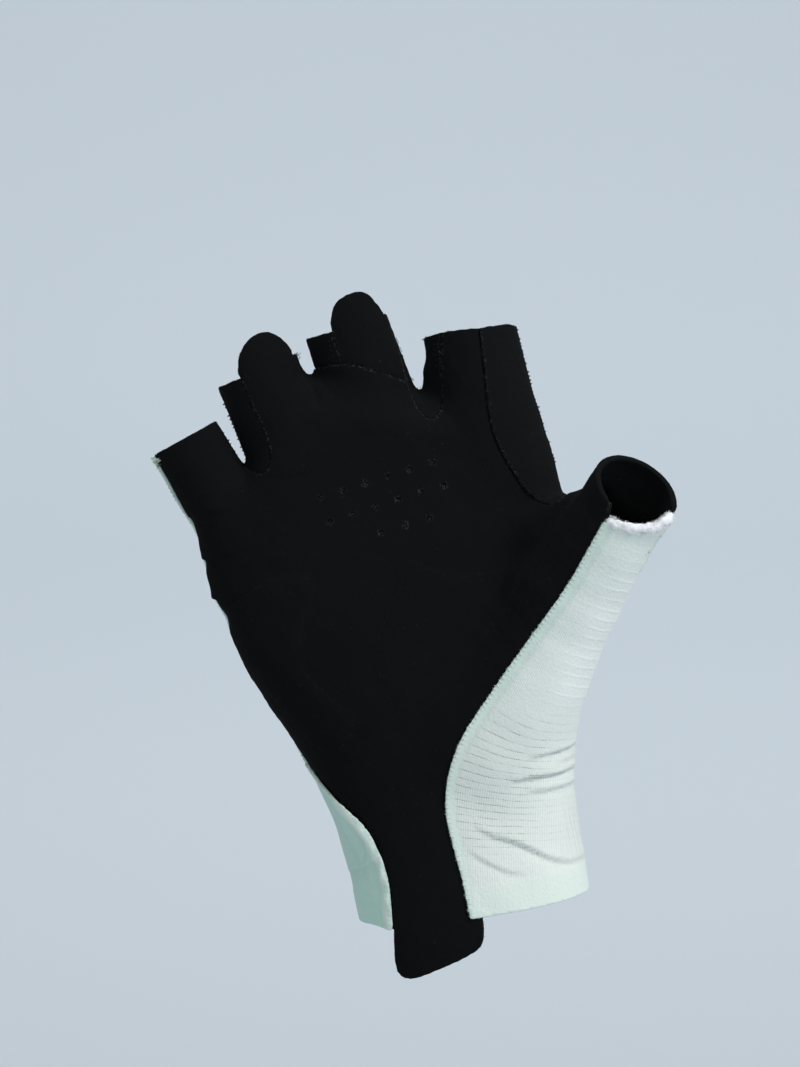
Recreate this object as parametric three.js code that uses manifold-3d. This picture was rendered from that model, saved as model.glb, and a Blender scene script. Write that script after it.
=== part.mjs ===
import * as THREE from "three";
import Module from "manifold-3d";

// Short-finger cycling glove for the right side, in its worn form.
// Units are millimetres. +Z points up through the finger stalls, the palm faces -Y and
// +X points to the thumb. The origin is the middle of the wrist opening.
//
// The outer surface is one smooth form, worked out from the tables below. It is turned into
// a mesh, cut along the seam lines into the real panels, and each panel is thickened inwards.

// Cloth
const SUEDE = 1.6; // palm cloth
const KNIT = 1.2; // knitted upper
const GUSSET = 1.2; // strips between the stalls
const GAP = 0.3; // space left between neighbouring panels
const WALL_REACH = 2.5; // how far round a point the direction of its wall is averaged
const CORNER = Math.cos(THREE.MathUtils.degToRad(125)); // a seam that turns more sharply is a corner

// Mesh cells: their height in the palm and in the stalls, their width and their depth.
// Columns crowd together at the clefts between the stalls.
const CELL = { palmHeight: 6.2, stallHeight: 3.5, stallsFrom: 100, width: 5.3, depth: 4.3 };
const TAB_CELL = { edge: 2.4, reach: 1.8 }; // longest edge within this reach of a pull tab's outline
const CLEFTS = [
  { name: "little_ring", x: -57.8, z: 111.8, lean: -0.43, crowding: 3.2, reach: 3.6 },
  { name: "ring_middle", x: -41.2, z: 133, lean: -0.35, crowding: 2.6, reach: 3.6 },
  { name: "middle_index", x: -14.2, z: 128.5, lean: -0.24, crowding: 2.2, reach: 3.6 },
];

// Seam and opening lines are drawn on the plane y = 0 as they are seen from this point.
const SEEN_FROM = { x: -18.5, y: -750, z: 92.9 };

// Palm and wrist: superellipse sections along an axis that leans towards the little finger.
const LEAN = THREE.MathUtils.degToRad(14.6);
const SQUARENESS = 2.35;
const KNUCKLE_ROUNDING = 8;
// Where the palm body is rounded off: s is measured across the axis, end along it
const KNUCKLES = [
  { s: -43, end: 108 },
  { s: -28, end: 117 },
  { s: -7, end: 131 },
  { s: 19, end: 122 },
  { s: 40, end: 117 },
];
// s is the height along the axis; the other columns are distances from the axis
const PALM_SECTIONS = [
  { s: -20, left: -28.0, right: 26.5, front: 20.5, back: 19.5 },
  { s: 0, left: -27.6, right: 28.1, front: 20.5, back: 19.0 },
  { s: 14, left: -27.0, right: 29.6, front: 19.5, back: 18.0 },
  { s: 29, left: -27.5, right: 31.4, front: 18.5, back: 17.0 },
  { s: 44, left: -30.3, right: 33.6, front: 18.0, back: 15.5 },
  { s: 60, left: -35.5, right: 37.0, front: 18.0, back: 14.5 },
  { s: 76, left: -40.2, right: 40.2, front: 17.0, back: 14.0 },
  { s: 92, left: -42.3, right: 42.6, front: 15.5, back: 14.0 },
  { s: 108, left: -42.6, right: 43.5, front: 13.5, back: 14.0 },
  { s: 126, left: -42.0, right: 43.5, front: 12.0, back: 13.0 },
];

// Tapered round limbs: from root to tip, radius at each, depth as a share of the breadth,
// and how softly the limb runs into the palm.
const STALLS = [
  { name: "index", root: [5.6, 0, 108], tip: [-3.6, -2, 156], r0: 13.7, r1: 11.3, depth: 0.9, blend: 6 },
  { name: "middle", root: [-21, 1, 112], tip: [-36.9, -1, 157], r0: 11.2, r1: 9.8, depth: 0.95, blend: 6 },
  { name: "ring", root: [-43, 0, 106], tip: [-59.7, -2, 146], r0: 11, r1: 10.2, depth: 0.95, blend: 6 },
  { name: "little", root: [-57.2, -1, 92], tip: [-79.2, -4, 128], r0: 9.3, r1: 9, depth: 0.95, blend: 5 },
];
const THUMB = [
  { name: "ball", root: [4, -3, 42], tip: [21.8, -14, 77], r0: 19.3, r1: 13.4, depth: 1, blend: 7 },
  { name: "stall", root: [21.8, -14, 77], tip: [38.8, -27, 102.4], r0: 13.4, r1: 10.4, depth: 1, blend: 3 },
  { name: "end", root: [38.8, -27, 102.4], tip: [46, -38, 117.5], r0: 10.4, r1: 10.2, depth: 1, blend: 3 },
];
const WEBS = [
  { name: "ring_middle", root: [-49, -1, 122], tip: [-27, 0, 126], r0: 8.4, r1: 8.6, depth: 1, blend: 3 },
  { name: "middle_index", root: [-21, 0, 121], tip: [2, -1, 120.5], r0: 7, r1: 7.6, depth: 1, blend: 3 },
  { name: "index_thumb", root: [12, -4, 94], tip: [29.5, -16, 90.5], r0: 9.6, r1: 8, depth: 1, blend: 4 },
];

// Gathers of the knit at the wrist: a groove from (x0, z0) to (x1, z1) on the drawing plane.
const FOLDS = [
  { x0: 8, z0: 34.0, x1: 27, z1: 41.0, width: 2.0, sink: 0.9 },
  { x0: 7, z0: 29.5, x1: 27, z1: 34.5, width: 2.0, sink: 0.8 },
  { x0: 5, z0: 19.0, x1: 29, z1: 12.0, width: 2.6, sink: 1.3 },
];

// Seam lines: rows of x, z on the drawing plane. A smooth line runs through the rows of
// "line" and is closed through the corners of "round".
const SEAMS = {
  thumb_knit: {
    line: [[33.6, 97.4], [30, 91.3], [24, 80.8], [14, 66.5], [4, 52.3], [-3.3, 40.8],
      [-6.5, 30.8], [-6.8, 22.5], [-4.8, 13.8], [-2.8, 6.3], [-0.9, -2.6]],
    round: [[2.4, -3.3], [6, -30], [90, -30], [90, 106], [40, 104]],
  },
  wrist_knit: {
    line: [[-50, 46], [-42.3, 36.3], [-36.5, 28.8], [-31, 23.5], [-27, 19.5], [-23.8, 13.8],
      [-21.5, 6.3], [-20.5, -1.8], [-20.3, -8.8]],
    round: [[-20.3, -30], [-100, -30], [-100, 46]],
  },
  index_side: {
    line: [[2.5, 151], [2.3, 139], [3.3, 127.5], [6.8, 113.5], [11.5, 105], [18, 100.4], [23, 102]],
    round: [[23.5, 107], [26, 115], [26, 151]],
  },
  middle_front: {
    line: [[-42.8, 131.2], [-41.3, 133], [-39.5, 133.9], [-34.3, 134.8], [-29.3, 134.5], [-22, 132.8],
      [-16, 129.3]],
    round: [[-8, 129], [-8, 160], [-52, 160], [-44.2, 140]],
  },
  little_ring: {
    line: [[-64.7, 121.5], [-62, 115.3], [-58.9, 110.8], [-55.8, 108.3], [-52.6, 107.8], [-50.8, 110.3],
      [-51.8, 116.5], [-55.5, 124.8], [-58.5, 132]],
    round: [[-64, 142], [-71, 134]],
  },
  ring_middle: {
    line: [[-47.8, 142], [-44.9, 138], [-43.5, 134.8], [-41.5, 130], [-39, 127.2], [-36, 125.7],
      [-33.3, 128.5], [-33.2, 133], [-35.8, 140.5]],
    round: [[-37, 150], [-48, 150]],
  },
  middle_index: {
    line: [[-23.6, 150.5], [-22.3, 147], [-20.9, 141.8], [-18.9, 134.5], [-16.9, 128.3], [-14.5, 122.8],
      [-11, 120.9], [-8.5, 123], [-7.9, 130], [-8.8, 138], [-9.9, 146]],
    round: [[-12, 160], [-22, 160]],
  },
  thumb_back: {
    line: [[22, 104], [25, 98], [29.5, 92.5], [35, 88.3], [41, 85.8], [48, 84.5]],
    round: [[62, 86], [72, 108], [60, 130], [30, 125]],
  },
};

// Openings of the stalls, each a cut above a line on the drawing plane.
const MOUTHS = [
  { name: "little", edge: [[-83.5, 110.2], [-63, 121.7]],
    round: [[-65, 128], [-71, 141], [-95, 141], [-95, 110]] },
  { name: "ring", edge: [[-65, 128.7], [-43.3, 138.2]],
    round: [[-44.3, 141], [-51, 158], [-53, 163], [-81, 163], [-81, 131]] },
  { name: "middle", edge: [[-43.5, 140.7], [-19.8, 148.3]],
    round: [[-22.3, 161], [-22.3, 176], [-61, 176], [-56, 156], [-46, 145]] },
  { name: "index", edge: [[-17, 139.5], [-13.3, 141.4], [-8.5, 143], [9, 145], [16, 145.6]],
    round: [[21.5, 145.6], [21.5, 189], [-19.5, 189], [-17.5, 151]] },
];
// Pull tabs that carry the palm side of two stalls on past the opening
const TABS = {
  ring: [[-59, 128], [-59, 131.8], [-58.5, 137.5], [-55.5, 141.8], [-51.5, 143], [-47.5, 141.6],
    [-44.8, 138], [-44.4, 134]],
  middle: [[-35.8, 140], [-35.8, 146.3], [-34.3, 150.5], [-29.8, 153], [-26.5, 152.8], [-24, 150],
    [-22.5, 147], [-22.2, 142]],
};
// The wrist tab hangs below the cuff on the palm side.
const WRIST_TAB = [[-20, 4], [-20.2, -7.5], [-19.6, -15], [-18.5, -17.5], [-16, -18.3], [-8.5, -15.8],
  [0.8, -11], [2.2, -8.8], [2.2, -4], [1.4, -1.4], [-4, 2], [-8, 4]];

// The cuff is a slanted plane: height at x = y = 0, and its rise along x and along y.
const CUFF = { height: 0.6, riseX: 0.155, riseY: 0.05 };
// The thumb opening is a slanted plane; the hem roll lies in it on the knitted side.
const THUMB_MOUTH = { point: [40, -27.7, 103.9], normal: [0.39, -0.65, 0.65], from: 24 };
const HEM = { radius: 1.5, sides: 8, stations: 20 };

// Air holes through the palm cloth: rows that run up to the thumb side
const HOLES = { radius: 1.0, sides: 8, reach: 9 };
const HOLE_ROWS = [
  { x: -38.5, z: 102, stepX: 5.6, rise: 1.75, count: 6 },
  { x: -36, z: 96, stepX: 5.7, rise: 1.8, count: 6 },
  { x: -23.5, z: 91.7, stepX: 6, rise: 1.3, count: 3 },
];

// Vectors

const add = (a, b) => [a[0] + b[0], a[1] + b[1], a[2] + b[2]];
const sub = (a, b) => [a[0] - b[0], a[1] - b[1], a[2] - b[2]];
const scale = (a, k) => [a[0] * k, a[1] * k, a[2] * k];
const dot = (a, b) => a[0] * b[0] + a[1] * b[1] + a[2] * b[2];
const cross = (a, b) => [a[1] * b[2] - a[2] * b[1], a[2] * b[0] - a[0] * b[2], a[0] * b[1] - a[1] * b[0]];
const unit = (a) => scale(a, 1 / (Math.hypot(...a) || 1));
const clamp = (x, low, high) => Math.min(Math.max(x, low), high);

// The smaller of two distances, with a fillet of size k where they are nearly equal
function softMin(a, b, k) {
  const h = Math.max(k - Math.abs(a - b), 0) / k;
  return Math.min(a, b) - (h * h * k) / 4;
}

// A smooth curve through one column of a table, as a function of s, held level past its ends
function column(rows, key) {
  const last = rows.length - 1;
  const slopes = rows.map((_, j) => {
    const a = rows[Math.max(j - 1, 0)];
    const b = rows[Math.min(j + 1, last)];
    return (b[key] - a[key]) / (b.s - a.s);
  });
  return (s) => {
    const at = clamp(s, rows[0].s, rows[last].s);
    let i = 0;
    while (i < last - 1 && at > rows[i + 1].s) i += 1;
    const h = rows[i + 1].s - rows[i].s;
    const t = (at - rows[i].s) / h;
    const t2 = t * t;
    const t3 = t2 * t;
    return (2 * t3 - 3 * t2 + 1) * rows[i][key] + (t3 - 2 * t2 + t) * h * slopes[i]
      + (3 * t2 - 2 * t3) * rows[i + 1][key] + (t3 - t2) * h * slopes[i + 1];
  };
}

// The form: negative inside, and close to a distance near the surface

const ALONG = [-Math.sin(LEAN), Math.cos(LEAN)];
const ACROSS = [Math.cos(LEAN), Math.sin(LEAN)];
const leftOf = column(PALM_SECTIONS, "left");
const rightOf = column(PALM_SECTIONS, "right");
const frontOf = column(PALM_SECTIONS, "front");
const backOf = column(PALM_SECTIONS, "back");
const knuckleEnd = column(KNUCKLES, "end");

function palmBody(p) {
  const s = p[0] * ALONG[0] + p[2] * ALONG[1];
  const t = p[0] * ACROSS[0] + p[2] * ACROSS[1];
  const left = leftOf(s);
  const right = rightOf(s);
  const depth = p[1] < 0 ? frontOf(s) : backOf(s);
  const half = (right - left) / 2;
  const u = Math.abs(t - (left + right) / 2) / half;
  const v = Math.abs(p[1]) / depth;
  const n = SQUARENESS;
  const rho = Math.pow(Math.pow(u, n) + Math.pow(v, n), 1 / n) + 1e-9;
  const slope = Math.hypot(Math.pow(u, n - 1) / half, Math.pow(v, n - 1) / depth) * Math.pow(rho, 1 - n);
  return -softMin((1 - rho) / (slope + 1e-9), knuckleEnd(t) - s, KNUCKLE_ROUNDING);
}

function limb({ root, tip, r0, r1, depth, blend }) {
  const length = Math.hypot(...sub(tip, root));
  const axis = unit(sub(tip, root));
  const deep = unit(sub([0, 1, 0], scale(axis, axis[1])));
  const wide = cross(axis, deep);
  const distance = (p) => {
    const t = clamp(dot(sub(p, root), axis) / length, 0, 1);
    const q = sub(sub(p, root), scale(axis, t * length));
    return Math.hypot(dot(q, axis), dot(q, wide), dot(q, deep) / depth) - (r0 + t * (r1 - r0));
  };
  return { distance, blend };
}

const thumbLimbs = THUMB.map(limb);
const stallLimbs = STALLS.map(limb);
const webLimbs = WEBS.map(limb);

function form(p) {
  let base = palmBody(p);
  for (const { distance, blend } of thumbLimbs) base = softMin(base, distance(p), blend);
  let all = Infinity;
  for (const { distance, blend } of stallLimbs) {
    const joined = softMin(base, distance(p), blend);
    all = all === Infinity ? joined : softMin(all, joined, 1.5);
  }
  for (const { distance, blend } of webLimbs) all = softMin(all, distance(p), blend);
  return all;
}

function gradient(field, p, h = 0.05) {
  return [0, 1, 2].map((axis) => {
    const ahead = [...p];
    const behind = [...p];
    ahead[axis] += h;
    behind[axis] -= h;
    return (field(ahead) - field(behind)) / (2 * h);
  });
}

function ontoSurface(p, rounds = 2) {
  let q = p;
  for (let i = 0; i < rounds; i += 1) {
    const g = gradient(form, q);
    q = sub(q, scale(g, form(q) / Math.max(dot(g, g), 0.1)));
  }
  return q;
}

// How far the folds sink the knit at p
function foldDepth(p) {
  const [x, z] = seen(p);
  let deepest = 0;
  for (const { x0, z0, x1, z1, width, sink } of FOLDS) {
    const t = clamp(((x - x0) * (x1 - x0) + (z - z0) * (z1 - z0)) / ((x1 - x0) ** 2 + (z1 - z0) ** 2), 0, 1);
    const away = Math.hypot(x - x0 - t * (x1 - x0), z - z0 - t * (z1 - z0));
    deepest = Math.max(deepest, sink * Math.exp(-((away / width) ** 2)) * Math.min(1, 3 * t));
  }
  return deepest * clamp(facing(p) * 3, 0, 1);
}

// Lines on the drawing plane

function seen(p) {
  const k = -SEEN_FROM.y / (p[1] - SEEN_FROM.y);
  return [SEEN_FROM.x + (p[0] - SEEN_FROM.x) * k, SEEN_FROM.z + (p[2] - SEEN_FROM.z) * k];
}

// 1 where the surface faces the view point, 0 on the outline, -1 on the far side
function facing(p) {
  return dot(unit(gradient(form, p)), unit(sub([SEEN_FROM.x, SEEN_FROM.y, SEEN_FROM.z], p)));
}

function smoothLine(rows, pieces = 5) {
  const points = rows.map(([x, z]) => new THREE.Vector3(x, 0, z));
  const curve = new THREE.CatmullRomCurve3(points, false, "centripetal");
  return curve.getPoints(pieces * (rows.length - 1)).map((v) => [v.x, v.z]);
}

// Signed distance to a closed shape on the drawing plane, negative inside
function shape(points) {
  return (p) => {
    const [x, z] = seen(p);
    let nearest = Infinity;
    let inside = false;
    for (let i = 0, j = points.length - 1; i < points.length; j = i, i += 1) {
      const [ax, az] = points[j];
      const [bx, bz] = points[i];
      const length2 = (bx - ax) ** 2 + (bz - az) ** 2;
      const t = clamp(((x - ax) * (bx - ax) + (z - az) * (bz - az)) / length2, 0, 1);
      nearest = Math.min(nearest, Math.hypot(x - ax - t * (bx - ax), z - az - t * (bz - az)));
      if (az > z !== bz > z && x < ((bx - ax) * (z - az)) / (bz - az) + ax) inside = !inside;
    }
    return inside ? -nearest : nearest;
  };
}

const within = {};
for (const [name, { line, round }] of Object.entries(SEAMS)) {
  within[name] = shape([...smoothLine(line), ...round]);
}
const mouths = MOUTHS.map(({ edge, round }) => shape([...edge, ...round]));
const tabs = { ring: shape(smoothLine(TABS.ring)), middle: shape(smoothLine(TABS.middle)) };
const wristTab = shape(smoothLine(WRIST_TAB));

// Panel regions: negative where the panel is

const ROUND_R = 10; // turns the facing value into millimetres on a round stall
const facesMoreThan = (limit) => (p) => (limit - facing(p)) * ROUND_R;
const both = (...fields) => (p) => Math.max(...fields.map((f) => f(p)));
const either = (...fields) => (p) => Math.min(...fields.map((f) => f(p)));
const not = (field) => (p) => -field(p);

// The palm cloth ends just behind the outline, but in front of it beside the little finger.
function palmEdge(p) {
  const high = THREE.MathUtils.smoothstep(p[2], 84, 96) * (p[0] < -40 ? 1 : 0);
  return (-0.12 + 0.5 * high - facing(p)) * ROUND_R;
}

// Behind the thumb the palm cloth runs on from the web; it only just reaches the outer outline.
function thumbWrap(p) {
  const overlap = 2 - 1.7 * THREE.MathUtils.smoothstep(p[0], 36, 44);
  return Math.max(within.thumb_back(p), facing(p) * ROUND_R - overlap);
}

const gussetRegion = (name) => both(within[name], facesMoreThan(-0.5));
const region = {
  gusset_little_ring: gussetRegion("little_ring"),
  gusset_ring_middle: gussetRegion("ring_middle"),
  gusset_middle_index: gussetRegion("middle_index"),
};
const anyGusset = either(...Object.values(region));
region.index_side_panel = both(within.index_side, facesMoreThan(-0.5), not(anyGusset));
region.middle_finger_front = both(within.middle_front, facesMoreThan(-0.3), not(anyGusset));
const inlaid = either(...Object.values(region));
const palmShape = either(both(palmEdge, not(within.thumb_knit), not(within.wrist_knit)), thumbWrap);
region.palm_panel = both(palmShape, not(inlaid));
region.knit_upper = not(either(palmShape, inlaid));

// Rims of the openings: negative where the cloth stays
const rim = {
  stalls: (p) => -either(...mouths)(p),
  cuff: (p) => CUFF.height + CUFF.riseX * p[0] + CUFF.riseY * p[1] - p[2],
  thumb: (p) => Math.min(dot(unit(THUMB_MOUTH.normal), sub(p, THUMB_MOUTH.point)), p[0] - THUMB_MOUTH.from),
};
const tabSide = facesMoreThan(0.12);
rim.underHem = (p) => rim.thumb(p) + (p[0] > THUMB_MOUTH.from + 2 ? 2 * HEM.radius : 0);
rim.ringTab = either(rim.stalls, both(tabs.ring, tabSide));
rim.middleTab = either(rim.stalls, both(tabs.middle, tabSide));
rim.wristTab = either(rim.cuff, both(wristTab, tabSide));

// Surface mesh of the form: one point per cell that the surface crosses

// Lines from low to high that crowd where the density is high
function spread(low, high, count, density) {
  const samples = 400;
  const total = [0];
  const at = (i) => low + ((high - low) * i) / samples;
  for (let i = 0; i < samples; i += 1) total.push(total[i] + density((at(i) + at(i + 1)) / 2));
  const lines = [];
  let j = 0;
  for (let i = 0; i < count; i += 1) {
    const goal = (total[samples] * i) / (count - 1);
    while (j < samples - 1 && total[j + 1] < goal) j += 1;
    lines.push(at(j + (goal - total[j]) / (total[j + 1] - total[j])));
  }
  return lines;
}

function crowding(x, z) {
  let sum = 1;
  for (const cleft of CLEFTS) {
    const middle = cleft.x + cleft.lean * (z - cleft.z);
    const fade = THREE.MathUtils.smoothstep(z, cleft.z - 14, cleft.z - 3);
    sum += fade * cleft.crowding * Math.exp(-(((x - middle) / cleft.reach) ** 2));
  }
  return sum;
}

function meshForm(low, high) {
  const heights = (z) => {
    const stalls = THREE.MathUtils.smoothstep(z, CELL.stallsFrom - 6, CELL.stallsFrom + 6);
    return 1 / (CELL.palmHeight + (CELL.stallHeight - CELL.palmHeight) * stalls);
  };
  const extra = CLEFTS.reduce((sum, c) => sum + c.crowding * c.reach * Math.sqrt(Math.PI), 0);
  const rows = Math.round((high[2] - low[2]) / ((CELL.palmHeight * 2 + CELL.stallHeight) / 3));
  const count = [
    Math.round((high[0] - low[0] + extra) / CELL.width),
    Math.round((high[1] - low[1]) / CELL.depth),
    rows,
  ];
  const zs = spread(low[2], high[2], count[2], heights);
  const ys = spread(low[1], high[1], count[1], () => 1);
  const xs = zs.map((z) => spread(low[0], high[0], count[0], (x) => crowding(x, z)));
  const node = (i, j, k) => (i * count[1] + j) * count[2] + k;
  const place = (i, j, k) => [xs[k][i], ys[j], zs[k]];
  const value = new Float64Array(count[0] * count[1] * count[2]);
  for (let i = 0; i < count[0]; i += 1) {
    for (let j = 0; j < count[1]; j += 1) {
      for (let k = 0; k < count[2]; k += 1) value[node(i, j, k)] = form(place(i, j, k));
    }
  }
  const corners = [0, 1, 2, 3, 4, 5, 6, 7].map((c) => [c & 1, (c >> 1) & 1, (c >> 2) & 1]);
  const points = [];
  const cell = new Map();
  for (let i = 0; i < count[0] - 1; i += 1) {
    for (let j = 0; j < count[1] - 1; j += 1) {
      for (let k = 0; k < count[2] - 1; k += 1) {
        let sum = [0, 0, 0];
        let hits = 0;
        for (const c of corners) {
          for (let axis = 0; axis < 3; axis += 1) {
            if (c[axis]) continue;
            const d = [...c];
            d[axis] = 1;
            const from = [i + c[0], j + c[1], k + c[2]];
            const to = [i + d[0], j + d[1], k + d[2]];
            const a = value[node(...from)];
            const b = value[node(...to)];
            if (a < 0 === b < 0) continue;
            const t = a / (a - b);
            sum = add(sum, add(scale(place(...from), 1 - t), scale(place(...to), t)));
            hits += 1;
          }
        }
        if (!hits) continue;
        cell.set(node(i, j, k), points.length);
        points.push(scale(sum, 1 / hits));
      }
    }
  }
  const quads = [];
  for (let i = 1; i < count[0] - 1; i += 1) {
    for (let j = 1; j < count[1] - 1; j += 1) {
      for (let k = 1; k < count[2] - 1; k += 1) {
        for (let axis = 0; axis < 3; axis += 1) {
          const next = [i, j, k];
          next[axis] += 1;
          const a = value[node(i, j, k)] < 0;
          if (a === value[node(...next)] < 0) continue;
          const u = (axis + 1) % 3;
          const w = (axis + 2) % 3;
          const ring = [[1, 1], [0, 1], [0, 0], [1, 0]].map(([du, dw]) => {
            const c = [i, j, k];
            c[u] -= du;
            c[w] -= dw;
            return cell.get(node(...c));
          });
          quads.push(a ? ring : ring.reverse());
        }
      }
    }
  }
  return { points: points.map((p) => ontoSurface(p)), quads };
}

function trianglesOf({ points, quads }) {
  const faces = [];
  for (const [a, b, c, d] of quads) {
    const ac = Math.hypot(...sub(points[a], points[c]));
    const bd = Math.hypot(...sub(points[b], points[d]));
    if (ac < bd) faces.push([a, b, c], [a, c, d]);
    else faces.push([a, b, d], [b, c, d]);
  }
  return { points, faces };
}

// The field near its zero line as a distance along the surface
function alongSurface(field, p) {
  const normal = unit(gradient(form, p));
  const g = gradient(field, p, 0.2);
  const flat = sub(g, scale(normal, dot(g, normal)));
  const size = Math.max(Math.hypot(...flat), 0.25);
  return { distance: field(p) / size, towards: scale(flat, 1 / size) };
}

function shortestEdges({ points, faces }) {
  const shortest = points.map(() => Infinity);
  for (const face of faces) {
    for (let e = 0; e < 3; e += 1) {
      const a = face[e];
      const b = face[(e + 1) % 3];
      const length = Math.hypot(...sub(points[a], points[b]));
      shortest[a] = Math.min(shortest[a], length);
      shortest[b] = Math.min(shortest[b], length);
    }
  }
  return shortest;
}

// Puts points along the line where the field is zero, and splits the faces that cross it.
// Points near the line are moved onto it first, so that no thin triangles come about.
function split(mesh, field) {
  const points = [...mesh.points];
  const reach = shortestEdges(mesh);
  const value = points.map((p, i) => {
    const rough = field(p);
    if (Math.abs(rough) > 3 * CELL.width) return rough;
    const { distance, towards } = alongSurface(field, p);
    if (Math.abs(distance) > 0.35 * reach[i]) return distance;
    points[i] = ontoSurface(sub(p, scale(towards, distance)), 1);
    return 0;
  });
  const between = new Map();
  const cutPoint = (a, b) => {
    const key = a < b ? `${a},${b}` : `${b},${a}`;
    if (!between.has(key)) {
      const t = value[a] / (value[a] - value[b]);
      const p = add(scale(points[a], 1 - t), scale(points[b], t));
      const { distance, towards } = alongSurface(field, p);
      const most = 0.3 * Math.hypot(...sub(points[a], points[b]));
      between.set(key, points.length);
      points.push(ontoSurface(sub(p, scale(towards, clamp(distance, -most, most))), 2));
    }
    return between.get(key);
  };
  const inside = [];
  const outside = [];
  for (const face of mesh.faces) {
    for (const [side, faces] of [[-1, inside], [1, outside]]) {
      const kept = [];
      for (let i = 0; i < 3; i += 1) {
        const a = face[i];
        const b = face[(i + 1) % 3];
        if (value[a] * side >= 0) kept.push(a);
        if (value[a] * value[b] < 0) kept.push(cutPoint(a, b));
      }
      const flat = face.every((v) => value[v] * side <= 0);
      if (flat && !(side < 0 && face.every((v) => value[v] === 0))) continue;
      for (let i = 1; i < kept.length - 1; i += 1) faces.push([kept[0], kept[i], kept[i + 1]]);
    }
  }
  return { points, inside, outside };
}

// Halves the edges longer than the limit that lie close to the zero line of a field
function refine({ points: before, faces: coarse }, field, reach, limit) {
  const points = [...before];
  const halves = new Map();
  const half = (a, b) => {
    const key = a < b ? `${a},${b}` : `${b},${a}`;
    if (!halves.has(key)) {
      const middle = scale(add(points[a], points[b]), 0.5);
      const close = Math.hypot(...sub(points[a], points[b])) > limit && Math.abs(field(middle)) < reach;
      halves.set(key, close ? points.push(ontoSurface(middle, 1)) - 1 : -1);
    }
    return halves.get(key);
  };
  const faces = [];
  for (const [a, b, c] of coarse) {
    const middles = [half(a, b), half(b, c), half(c, a)];
    const cuts = middles.filter((m) => m >= 0).length;
    // Turned so that the corners that stay whole come in a known order
    let turn = 0;
    if (cuts === 1) turn = middles.findIndex((m) => m >= 0);
    if (cuts === 2) turn = middles.findIndex((m) => m < 0);
    const [p, q, r] = [a, b, c, a, b].slice(turn, turn + 3);
    const [pq, qr, rp] = [...middles, ...middles].slice(turn, turn + 3);
    if (cuts === 0) faces.push([p, q, r]);
    if (cuts === 1) faces.push([p, pq, r], [pq, q, r]);
    if (cuts === 2) faces.push([p, q, qr], [p, qr, rp], [rp, qr, r]);
    if (cuts === 3) faces.push([p, pq, rp], [pq, q, qr], [rp, qr, r], [pq, qr, rp]);
  }
  return { points, faces };
}

function splitAlong(mesh, field) {
  const { points, inside, outside } = split(mesh, field);
  return { points, faces: [...inside, ...outside] };
}

// Joins the ends of edges shorter than the limit, and drops the faces that this flattens
function closeShort({ points, faces }, limit) {
  const joined = points.map((_, i) => i);
  const find = (i) => {
    let at = i;
    while (joined[at] !== at) at = joined[at];
    return at;
  };
  for (const face of faces) {
    for (let e = 0; e < 3; e += 1) {
      const a = find(face[e]);
      const b = find(face[(e + 1) % 3]);
      const short = a !== b && Math.hypot(...sub(points[a], points[b])) < limit;
      if (short) joined[Math.max(a, b)] = Math.min(a, b);
    }
  }
  const kept = new Map();
  for (const face of faces) {
    const [a, b, c] = face.map(find);
    if (a === b || b === c || c === a) continue;
    const key = [a, b, c].sort((x, y) => x - y).join();
    if (kept.has(key)) kept.delete(key);
    else kept.set(key, [a, b, c]);
  }
  return { points, faces: [...kept.values()] };
}

// Gives each loose face to the panel that it shares an edge with
function adopt(mesh, owner, islands) {
  const sides = facesByEdge(mesh.faces);
  for (let round = 0; round < 4; round += 1) {
    for (const face of islands) {
      if (owner.has(face)) continue;
      const around = edgeKeys(face).flatMap((key) => sides.get(key)).filter((other) => owner.has(other));
      if (around.length) owner.set(face, owner.get(around[0]));
    }
  }
}

function edgeKeys([a, b, c]) {
  return [[a, b], [b, c], [c, a]].map(([p, q]) => (p < q ? `${p},${q}` : `${q},${p}`));
}

function facesByEdge(faces) {
  const sides = new Map();
  for (const face of faces) {
    for (const key of edgeKeys(face)) sides.set(key, [...(sides.get(key) || []), face]);
  }
  return sides;
}

// Evens out the seam lines: a point on a seam moves towards the middle of its two neighbours
// along it. Corners and points where three panels meet stay.
function evenSeams(mesh, owner) {
  const points = [...mesh.points];
  const next = new Map();
  for (const [key, [one, other]] of facesByEdge(mesh.faces)) {
    if (other && owner.get(one) === owner.get(other)) continue;
    const [a, b] = key.split(",").map(Number);
    next.set(a, [...(next.get(a) || []), b]);
    next.set(b, [...(next.get(b) || []), a]);
  }
  const loose = [...next].filter(([v, ends]) => {
    if (ends.length !== 2) return false;
    const [u, w] = ends.map((end) => unit(sub(points[end], points[v])));
    return dot(u, w) < CORNER;
  });
  for (let round = 0; round < 3; round += 1) {
    const moved = loose.map(([v, [a, b]]) => {
      const middle = scale(add(points[a], points[b]), 0.5);
      return [v, ontoSurface(add(scale(points[v], 0.6), scale(middle, 0.4)), 1)];
    });
    for (const [v, p] of moved) points[v] = p;
  }
  return points;
}

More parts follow.
